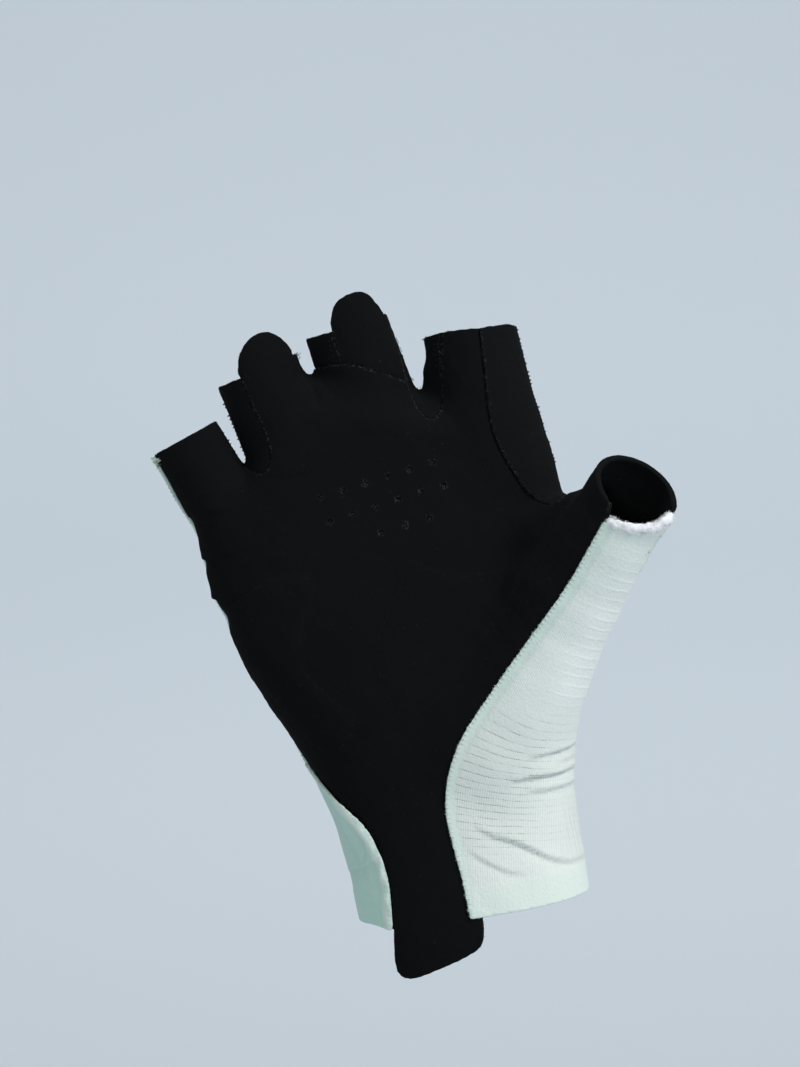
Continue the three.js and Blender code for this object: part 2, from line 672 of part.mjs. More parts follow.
// Draws the rim of a patch back along the surface, so that neighbours leave a gap. The walls
// at the rim keep the direction of the shared seam line, so that they run side by side.
function drawBack(mesh, distance) {
  const points = [...mesh.points];
  const open = new Map();
  for (const face of mesh.faces) {
    for (let e = 0; e < 3; e += 1) {
      const a = face[e];
      const b = face[(e + 1) % 3];
      if (open.has(`${b},${a}`)) open.delete(`${b},${a}`);
      else open.set(`${a},${b}`, [a, b]);
    }
  }
  const inward = new Map();
  for (const [a, b] of open.values()) {
    const along = sub(points[b], points[a]);
    const normal = gradient(form, scale(add(points[a], points[b]), 0.5));
    const away = unit(cross(normal, along));
    for (const v of [a, b]) inward.set(v, [...(inward.get(v) || []), away]);
  }
  const walls = new Map();
  for (const [v, ways] of inward) {
    const sum = ways.reduce(add);
    const mitre = clamp(ways.length / Math.hypot(...sum), 1, 1.4);
    walls.set(v, wallWay(points[v]));
    points[v] = ontoSurface(add(points[v], scale(unit(sum), mitre * distance)), 1);
  }
  return { points, faces: mesh.faces, walls };
}

// Keeps the largest patch that hangs together along edges, and drops corners that touch
// the rest at one point only.
function tidyPatch(mesh) {
  let { faces } = mesh;
  for (let round = 0; round < 6; round += 1) {
    faces = largestPatch(faces);
    const fans = new Map();
    for (const face of faces) for (const v of face) fans.set(v, [...(fans.get(v) || []), face]);
    const drop = new Set();
    for (const [v, fan] of fans) {
      const parts = patches(fan, v);
      if (parts.length < 2) continue;
      parts.sort((a, b) => b.length - a.length);
      parts.slice(1).flat().forEach((face) => drop.add(face));
    }
    if (!drop.size) break;
    faces = faces.filter((face) => !drop.has(face));
  }
  return { points: mesh.points, faces };
}

// Groups of faces joined along edges; with a pivot only edges at that point count
function patches(faces, pivot) {
  const owner = faces.map((_, i) => i);
  const find = (i) => {
    let at = i;
    while (owner[at] !== at) at = owner[at];
    owner[i] = at;
    return at;
  };
  const first = new Map();
  faces.forEach((face, i) => {
    for (let e = 0; e < 3; e += 1) {
      const a = face[e];
      const b = face[(e + 1) % 3];
      if (pivot !== undefined && a !== pivot && b !== pivot) continue;
      const key = a < b ? `${a},${b}` : `${b},${a}`;
      if (first.has(key)) owner[find(i)] = find(first.get(key));
      else first.set(key, i);
    }
  });
  const groups = new Map();
  faces.forEach((face, i) => groups.set(find(i), [...(groups.get(find(i)) || []), face]));
  return [...groups.values()];
}

function largestPatch(faces) {
  return patches(faces).sort((a, b) => b.length - a.length)[0];
}

// Which way the cloth is thickened: inwards, evened out over sharp ridges
function wallWay(p) {
  return scale(unit(gradient(form, p, WALL_REACH)), -1);
}

// Thickens an open patch inwards into one closed body
function thicken(mesh, thickness, sink = () => 0) {
  const { points, faces, walls } = mesh;
  const outer = new Map();
  const out = [];
  for (const face of faces) {
    for (const v of face) {
      if (outer.has(v)) continue;
      outer.set(v, out.length);
      const inward = walls.get(v) || wallWay(points[v]);
      const top = add(points[v], scale(inward, sink(points[v])));
      out.push(top, add(top, scale(inward, thickness)));
    }
  }
  const shell = [];
  const edges = new Set();
  for (const [a, b, c] of faces) {
    const [p, q, r] = [outer.get(a), outer.get(b), outer.get(c)];
    shell.push([p, q, r], [p + 1, r + 1, q + 1]);
    for (const e of [[a, b], [b, c], [c, a]]) edges.add(e.join());
  }
  // Both neighbours of a seam split their walls along the same diagonal
  for (const key of edges) {
    const [a, b] = key.split(",").map(Number);
    if (edges.has(`${b},${a}`)) continue;
    const [p, q] = [outer.get(a), outer.get(b)];
    if (a < b) shell.push([q, p, p + 1], [q, p + 1, q + 1]);
    else shell.push([q, p, q + 1], [p, p + 1, q + 1]);
  }
  return { points: out, faces: shell };
}

// A round roll along a path, closed at both ends
function roll(path, radius, sides) {
  const points = [];
  const faces = [];
  const last = path.length - 1;
  path.forEach((p, i) => {
    const axis = unit(sub(path[Math.min(i + 1, last)], path[Math.max(i - 1, 0)]));
    const side = unit(cross(axis, THUMB_MOUTH.normal));
    const up = cross(axis, side);
    const end = Math.min(i, last - i);
    const r = radius * (end === 0 ? 0.55 : end === 1 ? 0.88 : 1);
    for (let k = 0; k < sides; k += 1) {
      const angle = (2 * Math.PI * k) / sides;
      points.push(add(p, add(scale(side, r * Math.cos(angle)), scale(up, r * Math.sin(angle)))));
    }
  });
  for (let i = 0; i < last; i += 1) {
    for (let k = 0; k < sides; k += 1) {
      const a = i * sides + k;
      const b = i * sides + ((k + 1) % sides);
      faces.push([a, b, a + sides], [b, b + sides, a + sides]);
    }
  }
  for (let k = 1; k < sides - 1; k += 1) {
    faces.push([0, k + 1, k], [last * sides, last * sides + k, last * sides + k + 1]);
  }
  return { points, faces };
}

// Where the hem lies: points round the thumb opening on the knitted side
function hemPath() {
  const normal = unit(THUMB_MOUTH.normal);
  const centre = sub(THUMB_MOUTH.point, scale(normal, HEM.radius));
  const right = unit(sub([1, 0, 0], scale(normal, normal[0])));
  const down = cross(right, normal);
  const found = [];
  const tries = 360;
  for (let i = 0; i < tries; i += 1) {
    const angle = (2 * Math.PI * i) / tries;
    const ray = add(scale(right, Math.cos(angle)), scale(down, Math.sin(angle)));
    let near = 2;
    let far = 26;
    while (form(add(centre, scale(ray, far))) < 0) far += 4;
    for (let round = 0; round < 30; round += 1) {
      const half = (near + far) / 2;
      if (form(add(centre, scale(ray, half))) < 0) near = half;
      else far = half;
    }
    const p = add(centre, scale(ray, near - KNIT / 2));
    const knitted = palmShape(p) > HEM.radius + GAP;
    found.push(knitted ? p : null);
  }
  const start = found.findIndex((p, i) => p && !found[(i + tries - 1) % tries]);
  const path = [];
  for (let i = 0; i < tries && found[(start + i) % tries]; i += 1) path.push(found[(start + i) % tries]);
  const rows = [];
  for (let i = 0; i <= HEM.stations; i += 1) {
    rows.push(path[Math.round((i * (path.length - 1)) / HEM.stations)]);
  }
  return rows;
}

// Solids for cutting and joining

const wasm = await Module();
wasm.setup();
const { Manifold, Mesh } = wasm;

function solid({ points, faces }) {
  const mesh = new Mesh({
    numProp: 3,
    vertProperties: new Float32Array(points.flat()),
    triVerts: new Uint32Array(faces.flat()),
  });
  mesh.merge();
  return new Manifold(mesh);
}

function meshOf(body) {
  const { vertProperties, triVerts, numProp } = body.getMesh();
  const points = [];
  for (let i = 0; i < vertProperties.length; i += numProp) {
    points.push([vertProperties[i], vertProperties[i + 1], vertProperties[i + 2]]);
  }
  const faces = [];
  for (let i = 0; i < triVerts.length; i += 3) faces.push([triVerts[i], triVerts[i + 1], triVerts[i + 2]]);
  return { points, faces };
}

function punch(panel) {
  let body = solid(panel);
  for (const { x, z, stepX, rise, count } of HOLE_ROWS) {
    for (let i = 0; i < count; i += 1) {
      const spot = [x + i * stepX, z + i * rise];
      body = body.subtract(solid(holePin(spot)));
    }
  }
  return closeShort(meshOf(body), 0.03);
}

// A short pin that goes through the palm cloth at a place on the drawing plane
function holePin([x, z]) {
  const onPlane = [x, 0, z];
  const eye = [SEEN_FROM.x, SEEN_FROM.y, SEEN_FROM.z];
  const sight = unit(sub(eye, onPlane));
  let near = 0;
  let far = 40;
  for (let round = 0; round < 30; round += 1) {
    const half = (near + far) / 2;
    if (form(add(onPlane, scale(sight, half))) < 0) near = half;
    else far = half;
  }
  const spot = add(onPlane, scale(sight, near));
  const axis = unit(gradient(form, spot));
  const side = unit(cross(axis, [0, 0, 1]));
  const up = cross(axis, side);
  const points = [];
  for (const reach of [-HOLES.reach / 2, HOLES.reach / 2]) {
    for (let k = 0; k < HOLES.sides; k += 1) {
      const angle = (2 * Math.PI * k) / HOLES.sides;
      const out = scale(side, HOLES.radius * Math.cos(angle));
      const rise = scale(up, HOLES.radius * Math.sin(angle));
      points.push(add(spot, add(scale(axis, reach), add(out, rise))));
    }
  }
  const n = HOLES.sides;
  const faces = [];
  for (let k = 0; k < n; k += 1) {
    const b = (k + 1) % n;
    faces.push([k, b, k + n], [b, b + n, k + n]);
    if (k > 0 && k < n - 1) faces.push([0, k + 1, k], [n, n + k, n + k + 1]);
  }
  return { points, faces };
}

// Panels

const PANELS = {
  palm_panel: { thickness: SUEDE, rims: [rim.wristTab, rim.ringTab, rim.thumb] },
  middle_finger_front: { thickness: SUEDE, rims: [rim.middleTab] },
  index_side_panel: { thickness: SUEDE, rims: [rim.stalls] },
  gusset_little_ring: { thickness: GUSSET, rims: [rim.stalls] },
  gusset_ring_middle: { thickness: GUSSET, rims: [rim.stalls] },
  gusset_middle_index: { thickness: GUSSET, rims: [rim.stalls] },
  knit_upper: { thickness: KNIT, rims: [rim.cuff, rim.stalls, rim.underHem], sink: foldDepth },
};

// Cuts the surface along every seam and rim, and gives each face to its panel
function cutSurface() {
  const seamed = Object.keys(region).filter((name) => name !== "knit_upper").map((name) => region[name]);
  let mesh = trianglesOf(meshForm([-96, -60, -24], [66, 34, 162]));
  for (const tab of [tabs.ring, tabs.middle]) {
    mesh = refine(mesh, both(tab, (p) => 128 - p[2], facesMoreThan(-0.2)), TAB_CELL.reach, TAB_CELL.edge);
  }
  for (const field of [...seamed, ...Object.values(rim)]) {
    mesh = closeShort(splitAlong(mesh, field), 0.4);
  }
  const middles = mesh.faces.map((face) => scale(face.map((v) => mesh.points[v]).reduce(add), 1 / 3));
  const owner = new Map();
  const islands = [];
  for (const [name, { rims }] of Object.entries(PANELS)) {
    const kept = both(region[name], ...rims);
    const faces = mesh.faces.filter((_, i) => kept(middles[i]) < 0);
    const whole = new Set(tidyPatch({ points: mesh.points, faces }).faces);
    for (const face of faces) {
      if (whole.has(face)) owner.set(face, name);
      else islands.push(face);
    }
  }
  adopt(mesh, owner, islands);
  return { points: evenSeams(mesh, owner), faces: mesh.faces, owner };
}

const surface = cutSurface();

function panel(name) {
  const { thickness, sink } = PANELS[name];
  const faces = surface.faces.filter((face) => surface.owner.get(face) === name);
  return thicken(drawBack({ points: surface.points, faces }, GAP / 2), thickness, sink);
}

const pieces = {};
for (const name of Object.keys(PANELS)) pieces[name] = panel(name);
pieces.palm_panel = punch(pieces.palm_panel);
pieces.thumb_hem = roll(hemPath(), HEM.radius, HEM.sides);

const LOOKS = {
  palm_panel: { color: 0x111315, roughness: 0.95 },
  middle_finger_front: { color: 0x111315, roughness: 0.95 },
  index_side_panel: { color: 0x131517, roughness: 0.9 },
  gusset_little_ring: { color: 0x151719, roughness: 0.9 },
  gusset_ring_middle: { color: 0x151719, roughness: 0.9 },
  gusset_middle_index: { color: 0x151719, roughness: 0.9 },
  knit_upper: { color: 0xcddfd7, roughness: 0.95 },
  thumb_hem: { color: 0xe6ecef, roughness: 1 },
};

function toMesh(name, { points, faces }) {
  const geometry = new THREE.BufferGeometry();
  geometry.setAttribute("position", new THREE.Float32BufferAttribute(points.flat(), 3));
  geometry.setIndex(faces.flat());
  geometry.computeVertexNormals();
  const { color, roughness } = LOOKS[name];
  const mesh = new THREE.Mesh(geometry, new THREE.MeshStandardMaterial({ color, roughness, name }));
  mesh.name = name;
  return mesh;
}

const glove = new THREE.Group();
glove.name = "cycling_glove";
for (const [name, piece] of Object.entries(pieces)) glove.add(toMesh(name, piece));

export default glove;
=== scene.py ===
"""Short-finger cycling glove for the right side, in its worn form.

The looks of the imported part: each panel is a fine sheet of cloth on the form that the panels of
the frame lie on, with laps, stitches, mesh knit, folds, air holes and frayed threads.
Lengths are millimetres until a mesh is made. +Z points up through the finger stalls, the palm
faces -Y and +X points to the thumb.
"""

import math

import bpy
import numpy as np
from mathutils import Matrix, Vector
from mathutils.kdtree import KDTree


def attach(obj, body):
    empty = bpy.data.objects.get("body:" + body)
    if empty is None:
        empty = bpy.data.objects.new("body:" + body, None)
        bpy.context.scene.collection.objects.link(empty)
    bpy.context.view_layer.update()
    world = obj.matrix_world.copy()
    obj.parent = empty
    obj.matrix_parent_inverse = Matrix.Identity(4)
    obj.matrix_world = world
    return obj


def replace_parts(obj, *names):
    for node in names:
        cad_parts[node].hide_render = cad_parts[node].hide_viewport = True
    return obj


MM = 0.001
CELL = 0.74  # cell of the cloth mesh
FORM_BOX = ((-90, -48, -24), (56, 24, 160))
RNG = np.random.default_rng(7)

# Cloth
SUEDE = 1.6
KNIT = 1.2
GUSSET = 1.2
SKIVED = 0.7  # thickness of any cloth at a seam
LAP = 1.3  # how far a lower panel runs on under the upper one
UNDER_CLEAR = 0.12

# Where the photograph is taken from, and its lens
CAMERA = np.array([-18.5, -750.0, 92.9])
LENS = 101.2
SENSOR = 36.0

# Palm and wrist: sections along an axis that leans towards the little stall
LEAN = math.radians(14.6)
SQUARENESS = 2.35
KNUCKLE_ROUNDING = 8.0
KNUCKLES = [(-43, 108), (-28, 117), (-7, 131), (19, 122), (40, 117)]  # across, end
# height along the axis, then distances from the axis: left, right, front, back
PALM_SECTIONS = [
    (-20, -28.0, 26.5, 20.5, 19.5),
    (0, -27.6, 28.1, 20.5, 19.0),
    (14, -27.0, 29.6, 19.5, 18.0),
    (29, -27.5, 31.4, 18.5, 17.0),
    (44, -30.3, 33.6, 18.0, 15.5),
    (60, -35.5, 37.0, 18.0, 14.5),
    (76, -40.2, 40.2, 17.0, 14.0),
    (92, -42.3, 42.6, 15.5, 14.0),
    (108, -42.6, 43.5, 13.5, 14.0),
    (126, -42.0, 43.5, 12.0, 13.0),
]
# Tapered limbs: root, tip, radius at each, depth as a share of the breadth, softness
STALLS = [
    ((5.4, 0, 108), (-3.9, -2, 156), 13.4, 10.7, 0.9, 6),
    ((-20.5, 1, 112), (-36.4, -1, 157), 11.7, 10.3, 0.95, 6),
    ((-42.8, 0, 106), (-59.4, -2, 146), 11.2, 10.5, 0.95, 6),
    ((-57.2, -1, 92), (-79.2, -4, 128), 9.3, 9.0, 0.95, 5),
]
THUMB = [
    ((3.6, -3, 42), (21.1, -14, 77), 18.3, 12.6, 1, 7),
    ((21.1, -14, 77), (37.7, -27, 102.4), 12.6, 9.5, 1, 3),
    ((37.7, -27, 102.4), (45.2, -38, 117.5), 9.5, 9.4, 1, 3),
]
WEBS = [
    ((-49, -1, 122), (-27, 0, 126), 8.4, 8.6, 1, 3),
    ((-21, 0, 121), (2, -1, 120.5), 7.0, 7.6, 1, 3),
    ((-8.8, -1, 120), (-9.4, -1.5, 133), 3.6, 3.4, 1, 2),
    ((12, -4, 94), (29.5, -16, 90.5), 9.6, 8.0, 1, 4),
    ((17, -8, 95), (29, -18, 98.6), 6.0, 5.6, 1, 3),
    ((11.4, -3, 112.4), (15.4, -6, 100.4), 7.0, 7.0, 1, 2),
]

# Seams on the drawing plane y = 0 as the camera sees them: a smooth line, then corners that
# close it round the panel.
SEAMS = {
    "thumb_knit": (
        [(33.6, 97.4), (30, 91.3), (24, 80.8), (14, 66.5), (4, 52.3), (-3.3, 40.8), (-6.5, 30.8),
         (-6.8, 22.5), (-4.8, 13.8), (-2.8, 6.3), (-0.8, -3.3)],
        [(2.4, -3.6), (6, -30), (90, -30), (90, 106), (34.8, 106)],
    ),
    "wrist_knit": (
        [(-50, 46), (-42.3, 36.3), (-36.5, 28.8), (-31, 23.5), (-27, 19.5), (-23.8, 13.8),
         (-21.5, 6.3), (-20.5, -1.8), (-20.3, -8.8)],
        [(-20.3, -30), (-100, -30), (-100, 46)],
    ),
    "index_side": (
        [(1, 151), (1.5, 144), (2.3, 137), (3.4, 126.8), (4.7, 119), (8, 111.4), (12.7, 104.3),
         (16.5, 101), (19.7, 100.3), (22, 101.6)],
        [(24, 104), (26, 115), (26, 151)],
    ),
    "middle_front": (
        [(-41.9, 132.7), (-40, 133.8), (-37, 134.8), (-34.2, 135.1), (-29.7, 134.9), (-25.2, 133.5),
         (-20.7, 132.4), (-16, 130.5)],
        [(-8, 129), (-8, 160), (-52, 160), (-44.2, 140)],
    ),
    "little_ring": (
        [(-64.2, 121.8), (-61.6, 116), (-58.7, 111.3), (-55.8, 108.5), (-52.8, 107.9), (-50.8, 110.8),
         (-51.7, 116.5), (-55.4, 124.8), (-58.5, 132)],
        [(-64, 142), (-71, 134)],
    ),
    "ring_middle": (
        [(-41.9, 132.7), (-40, 133.8), (-37, 134.8), (-34.4, 135.1), (-33.7, 136), (-34.4, 139),
         (-35.2, 142), (-36, 146)],
        [(-37, 155), (-45, 155), (-43.6, 139.5), (-42.3, 134.6)],
    ),
    "middle_index": (
        [(-22.4, 151), (-21.1, 147), (-19.5, 141.8), (-17.7, 134.8), (-16.3, 129.6), (-14.4, 124.8),
         (-12, 122), (-10.2, 121.4), (-8.5, 123.2), (-7.9, 128), (-8.6, 137), (-9.4, 146)],
        [(-12, 160), (-20, 160)],
    ),
    "thumb_back": (
        [(19, 109), (20.5, 101.5), (24.5, 95.5), (29.5, 91.5), (35, 88.3), (41, 85.8), (48, 84.5)],
        [(62, 86), (72, 108), (60, 130), (26, 128)],
    ),
}
# Openings of the stalls, and the outlines of the pull tabs that stand past them
MOUTHS = [
    [(-83.5, 110.2), (-63, 121.7), (-65, 128), (-71, 141), (-95, 141), (-95, 110)],
    [(-65, 128.7), (-43.3, 138.2), (-44.3, 141), (-51, 158), (-53, 163), (-81, 163), (-81, 131)],
    [(-43.5, 140.7), (-19.8, 148.3), (-22.3, 161), (-22.3, 176), (-61, 176), (-56, 156), (-46, 145)],
    [(-17, 139.5), (-13.3, 141.4), (-8.5, 143), (8.4, 145), (10, 144.6), (11.2, 142.6), (21.5, 141),
     (21.5, 189), (-19.5, 189), (-17.5, 151)],
]
RING_TAB = [(-59, 128), (-59, 131.8), (-58.5, 137.5), (-55.5, 141.8), (-51.8, 143.2), (-49, 142.3),
            (-47.4, 141), (-46.2, 139.6), (-45.4, 137.9), (-45.8, 134)]
MIDDLE_TAB = [(-35.8, 140), (-35.8, 146.3), (-34.3, 150.5), (-29.6, 153.1), (-26.6, 152.8),
              (-24.4, 150.6), (-22.9, 148.5), (-22.3, 147), (-22.8, 142)]
WRIST_TAB = [(-20, 4), (-20.2, -7.5), (-19.6, -15), (-18.5, -17.5), (-16, -18.3), (-8.5, -15.8),
             (0.8, -11), (2.2, -8.8), (2.2, -4), (1.4, -1.4), (-4, 2), (-8, 4)]

# The cuff: its height at x = y = 0, its rise along x and y, its dip beside the tab and its rise beyond
CUFF = (0.6, 0.155, 0.05)
CUFF_DIP = 0.6
CUFF_RISE = 1.4
# The thumb opening and its hem lie in slanted planes, past these places along x
THUMB_MOUTH = np.array([40, -27.7, 102.9])
THUMB_MOUTH_NORMAL = np.array([0.39, -0.65, 0.65]) / np.linalg.norm([0.39, -0.65, 0.65])
THUMB_MOUTH_FROM = 24.0
HEM_FROM = 26.5
HEM_RADIUS = 1.15
HEM_SIDES = 22
HEM_STATIONS = 60
HEM_FIBRES = 2600
HEM_LINE = [(34.2, 95.4), (42.8, 93.4), (48.2, 95.5)]  # its middle on the drawing plane
HEM_ENDS = (50.6, 97.6)  # it stays below these places on the drawing plane
HEM_BACK = 7.0  # and reaches this far behind its middle

# Air holes: x, z, step along x, rise per step, count
HOLE_ROWS = [(-38.5, 102, 5.6, 1.75, 6), (-36, 96, 5.7, 1.8, 6), (-23.3, 93.2, 6.1, 1.8, 3)]
HOLE_RADIUS = 0.7

# Knit: courses run round the form and dip at the spine of the thumb side, wales run along it
COURSE = 2.3
WALE = 0.58
SPINE = [(-10, 14), (30, 14), (42, 19), (54, 26), (70, 34), (85, 41), (110, 50)]  # height, across
DIP = (14.0, 26.0)  # depth of the dip, and its half width

# Creases: points on the drawing plane, half width, depth, and the swell on the upper side
KNIT_CREASES = [
    ([(13.5, 36.6), (19.7, 38.1), (23.3, 39.4), (28, 42.5)], 0.7, 0.5, 0.8),
    ([(20, 35.4), (23.3, 36.7), (28, 39.5)], 0.5, 0.25, 0.35),
    ([(9, 30.6), (15.1, 31.9), (20.6, 32.9), (23.3, 33.9), (28, 36.8)], 0.75, 0.8, 1.0),
    ([(13.5, 28.0), (18.8, 28.8), (22.4, 29.7), (28, 32.5)], 0.7, 0.5, 0.7),
    ([(0, 19.2), (4.7, 16.9), (8.8, 15.8), (12.9, 14.2), (17, 12.2), (20.6, 11.0), (23.8, 10.7),
      (30, 13.5)], 0.8, 0.5, 1.05),
    ([(-2, 13.6), (2, 11), (5.6, 9.2), (8.8, 8), (13, 7.6)], 0.7, 0.3, 0.5),
    ([(-44, 36), (-36, 27), (-31, 15)], 1.4, 0.4, 0.5),
    ([(-38, 26), (-31, 16), (-26, 6)], 1.2, 0.35, 0.4),
    ([(-31.6, 21.6), (-29.2, 18.4), (-27, 14.5), (-26.6, 10.6)], 0.7, 0.45, 0.8),
    ([(-36, 7.2), (-31, 8.2), (-28, 9.2), (-23.5, 11.2)], 0.8, 0.6, 0.6),
]
PALM_CREASES = [
    ([(-68.5, 75.6), (-63, 76.6), (-56, 77.5)], 0.7, 0.5, 0.5),
    ([(-71, 85), (-66, 86.6), (-60, 88)], 0.7, 0.4, 0.5),
    ([(-74, 95.6), (-68, 97.4), (-62, 98.6)], 0.8, 0.4, 0.4),
    ([(-54, 107.3), (-47, 107.2), (-42.5, 107.8), (-37, 109.8)], 0.5, 0.2, 0.15),
    ([(-41, 131), (-39.5, 128.5), (-38, 125)], 0.7, 0.3, 0.3),
]

# Folds along the little stall's side of the palm: height, swell, half width
OUTLINE_FOLDS = [(82, 0.5, 2.5), (77, 0.8, 2.5), (71.5, -0.9, 2.5), (58, 0.5, 4), (50, 0.4, 3)]
# Soft pads of the palm: outlines on the drawing plane, and how far each stands up
PADS = [
    ([(-52, 81), (-42, 82), (-40.5, 78), (-43, 70), (-43, 60), (-39, 54), (-34, 50), (-30, 45),
      (-36, 38), (-50, 52), (-62, 72)], 0.5),
    ([(-16, 86), (-4, 82), (11, 84), (7, 73), (-1, 63), (-8, 53), (-17, 47), (-23, 56), (-24, 66),
      (-19, 78)], 0.45),
]


# Small helpers


def unit(v):
    return v / np.maximum(np.linalg.norm(v, axis=-1, keepdims=True), 1e-9)


def ramp(x, low, high):
    """0 below low, 1 above high, and smooth between."""
    t = np.clip((x - low) / (high - low), 0, 1)
    return t * t * (3 - 2 * t)


def bell(x, middle, width):
    """1 at the middle, and falling off to both sides."""
    return np.exp(-(((x - middle) / width) ** 2))


def soft_min(a, b, k):
    h = np.maximum(k - np.abs(a - b), 0) / k
    return np.minimum(a, b) - h * h * k / 4


def common(*fields):
    """Where all the fields are negative."""
    return np.maximum.reduce(fields)


def either(*fields):
    """Where any of the fields is negative."""
    return np.minimum.reduce(fields)


def column(rows, index):
    """A smooth curve through one column of a table, over its first column."""
    table = np.array(rows, float)
    at, value = table[:, 0], table[:, index]
    last = len(at) - 1
    before = np.maximum(np.arange(last + 1) - 1, 0)
    after = np.minimum(np.arange(last + 1) + 1, last)
    slope = (value[after] - value[before]) / (at[after] - at[before])

    def curve(s):
        s = np.clip(s, at[0], at[-1])
        i = np.clip(np.searchsorted(at, s) - 1, 0, last - 1)
        h = at[i + 1] - at[i]
        t = (s - at[i]) / h
        return ((2 * t**3 - 3 * t**2 + 1) * value[i] + (t**3 - 2 * t**2 + t) * h * slope[i]
                + (3 * t**2 - 2 * t**3) * value[i + 1] + (t**3 - t**2) * h * slope[i + 1])

    return curve


def smooth_line(rows, pieces=6):
    """A centripetal Catmull-Rom curve through points of the drawing plane."""
    p = np.array(rows, float)
    p = np.vstack([2 * p[0] - p[1], p, 2 * p[-1] - p[-2]])
    out = []
    for a, b, c, d in zip(p[:-3], p[1:-2], p[2:-1], p[3:]):
        knots = np.cumsum([0] + [np.linalg.norm(v - u) ** 0.5 for u, v in ((a, b), (b, c), (c, d))])
        for t in np.linspace(knots[1], knots[2], pieces, endpoint=False):
            def mix(u, v, i, j):
                return u + (v - u) * (t - knots[i]) / (knots[j] - knots[i])
            ab, bc, cd = mix(a, b, 0, 1), mix(b, c, 1, 2), mix(c, d, 2, 3)
            out.append(mix(mix(ab, bc, 0, 2), mix(bc, cd, 1, 3), 1, 2))
    return np.array(out + [p[-2]])


def smooth_loop(rows):
    return smooth_line(rows + rows[:1])


# The form: negative inside, and close to a distance near the surface

ALONG = np.array([-math.sin(LEAN), 0, math.cos(LEAN)])
ACROSS = np.array([math.cos(LEAN), 0, math.sin(LEAN)])
left_of, right_of, front_of, back_of = (column(PALM_SECTIONS, i) for i in (1, 2, 3, 4))
knuckle_end = column(KNUCKLES, 1)


def palm_body(p):
    s, t = p @ ALONG, p @ ACROSS
    left, right = left_of(s), right_of(s)
    depth = np.where(p[:, 1] < 0, front_of(s), back_of(s))
    half = (right - left) / 2
    u = np.abs(t - (left + right) / 2) / half
    v = np.abs(p[:, 1]) / depth
    n = SQUARENESS
    rho = (u**n + v**n) ** (1 / n) + 1e-9
    slope = np.hypot(u ** (n - 1) / half, v ** (n - 1) / depth) * rho ** (1 - n) + 1e-9
    return -soft_min((1 - rho) / slope, knuckle_end(t) - s, KNUCKLE_ROUNDING)


def limb(p, row):
    root, tip, r0, r1, depth, _ = row
    root = np.array(root, float)
    length = np.linalg.norm(np.array(tip) - root)
    axis = (np.array(tip) - root) / length
    deep = unit(np.array([0, 1.0, 0]) - axis * axis[1])
    wide = np.cross(axis, deep)
    q = p - root
    t = np.clip(q @ axis / length, 0, 1)
    q = q - np.outer(t * length, axis)
    return np.sqrt((q @ axis) ** 2 + (q @ wide) ** 2 + (q @ deep / depth) ** 2) - (r0 + t * (r1 - r0))


def form(p):
    base = palm_body(p)
    for row in THUMB:
        base = soft_min(base, limb(p, row), row[5])
    joined = [soft_min(base, limb(p, row), row[5]) for row in STALLS]
    whole = joined[0]
    for stall in joined[1:]:
        whole = soft_min(whole, stall, 1.5)
    for row in WEBS:
        whole = soft_min(whole, limb(p, row), row[5])
    return whole


def gradient(p, h=0.05):
    steps = np.eye(3) * h
    return np.stack([(form(p + d) - form(p - d)) / (2 * h) for d in steps], 1)


def normal_at(p, h=0.05):
    return unit(gradient(p, h))


def onto_form(p, rounds=2):
    for _ in range(rounds):
        g = gradient(p)
        p = p - g * (form(p) / np.maximum((g * g).sum(1), 0.1))[:, None]
    return p


def last_inside(start, way, near, far, rounds):
    """How far lines run inside the form, between two distances along them."""
    for _ in range(rounds):
        half = (near + far) / 2
        inside = form(start + way * half[:, None]) < 0
        near, far = np.where(inside, half, near), np.where(inside, far, half)
    return near


# The drawing plane


def seen(p):
    """Where the camera sees points, on the drawing plane."""
    k = -CAMERA[1] / (p[:, 1] - CAMERA[1])
    return CAMERA[[0, 2]] + (p[:, [0, 2]] - CAMERA[[0, 2]]) * k[:, None]


def facing(p):
    """How squarely the form faces the camera: 1 straight at it, 0 at its outline."""
    return (normal_at(p) * unit(CAMERA - p)).sum(1)


def from_plane(flat):
    """Points of the form's near side that the camera sees at places of the drawing plane."""
    flat = np.atleast_2d(np.array(flat, float))
    plane = np.stack([flat[:, 0], np.zeros(len(flat)), flat[:, 1]], 1)
    ray = unit(CAMERA - plane)
    near = np.zeros(len(flat))
    for reach in np.arange(0, 50, 1.0):
        near = np.where(form(plane + ray * reach) < 0, reach, near)
    return plane + ray * last_inside(plane, ray, near, near + 1, 20)[:, None]


def shape(flat, outline):
    """Signed distance of places to a closed outline on the drawing plane, negative inside."""
    a = np.array(outline, float)
    b = np.roll(a, -1, 0)
    nearest = np.full(len(flat), np.inf)
    inside = np.zeros(len(flat), bool)
    for (ax, az), (bx, bz) in zip(a, b):
        ex, ez = bx - ax, bz - az
        dx, dz = flat[:, 0] - ax, flat[:, 1] - az
        t = np.clip((dx * ex + dz * ez) / max(ex * ex + ez * ez, 1e-9), 0, 1)
        nearest = np.minimum(nearest, np.hypot(dx - t * ex, dz - t * ez))
        crosses = (az > flat[:, 1]) != (bz > flat[:, 1])
        inside ^= crosses & (dx < ex * dz / (ez if ez else 1e-9))
    return np.where(inside, -nearest, nearest)


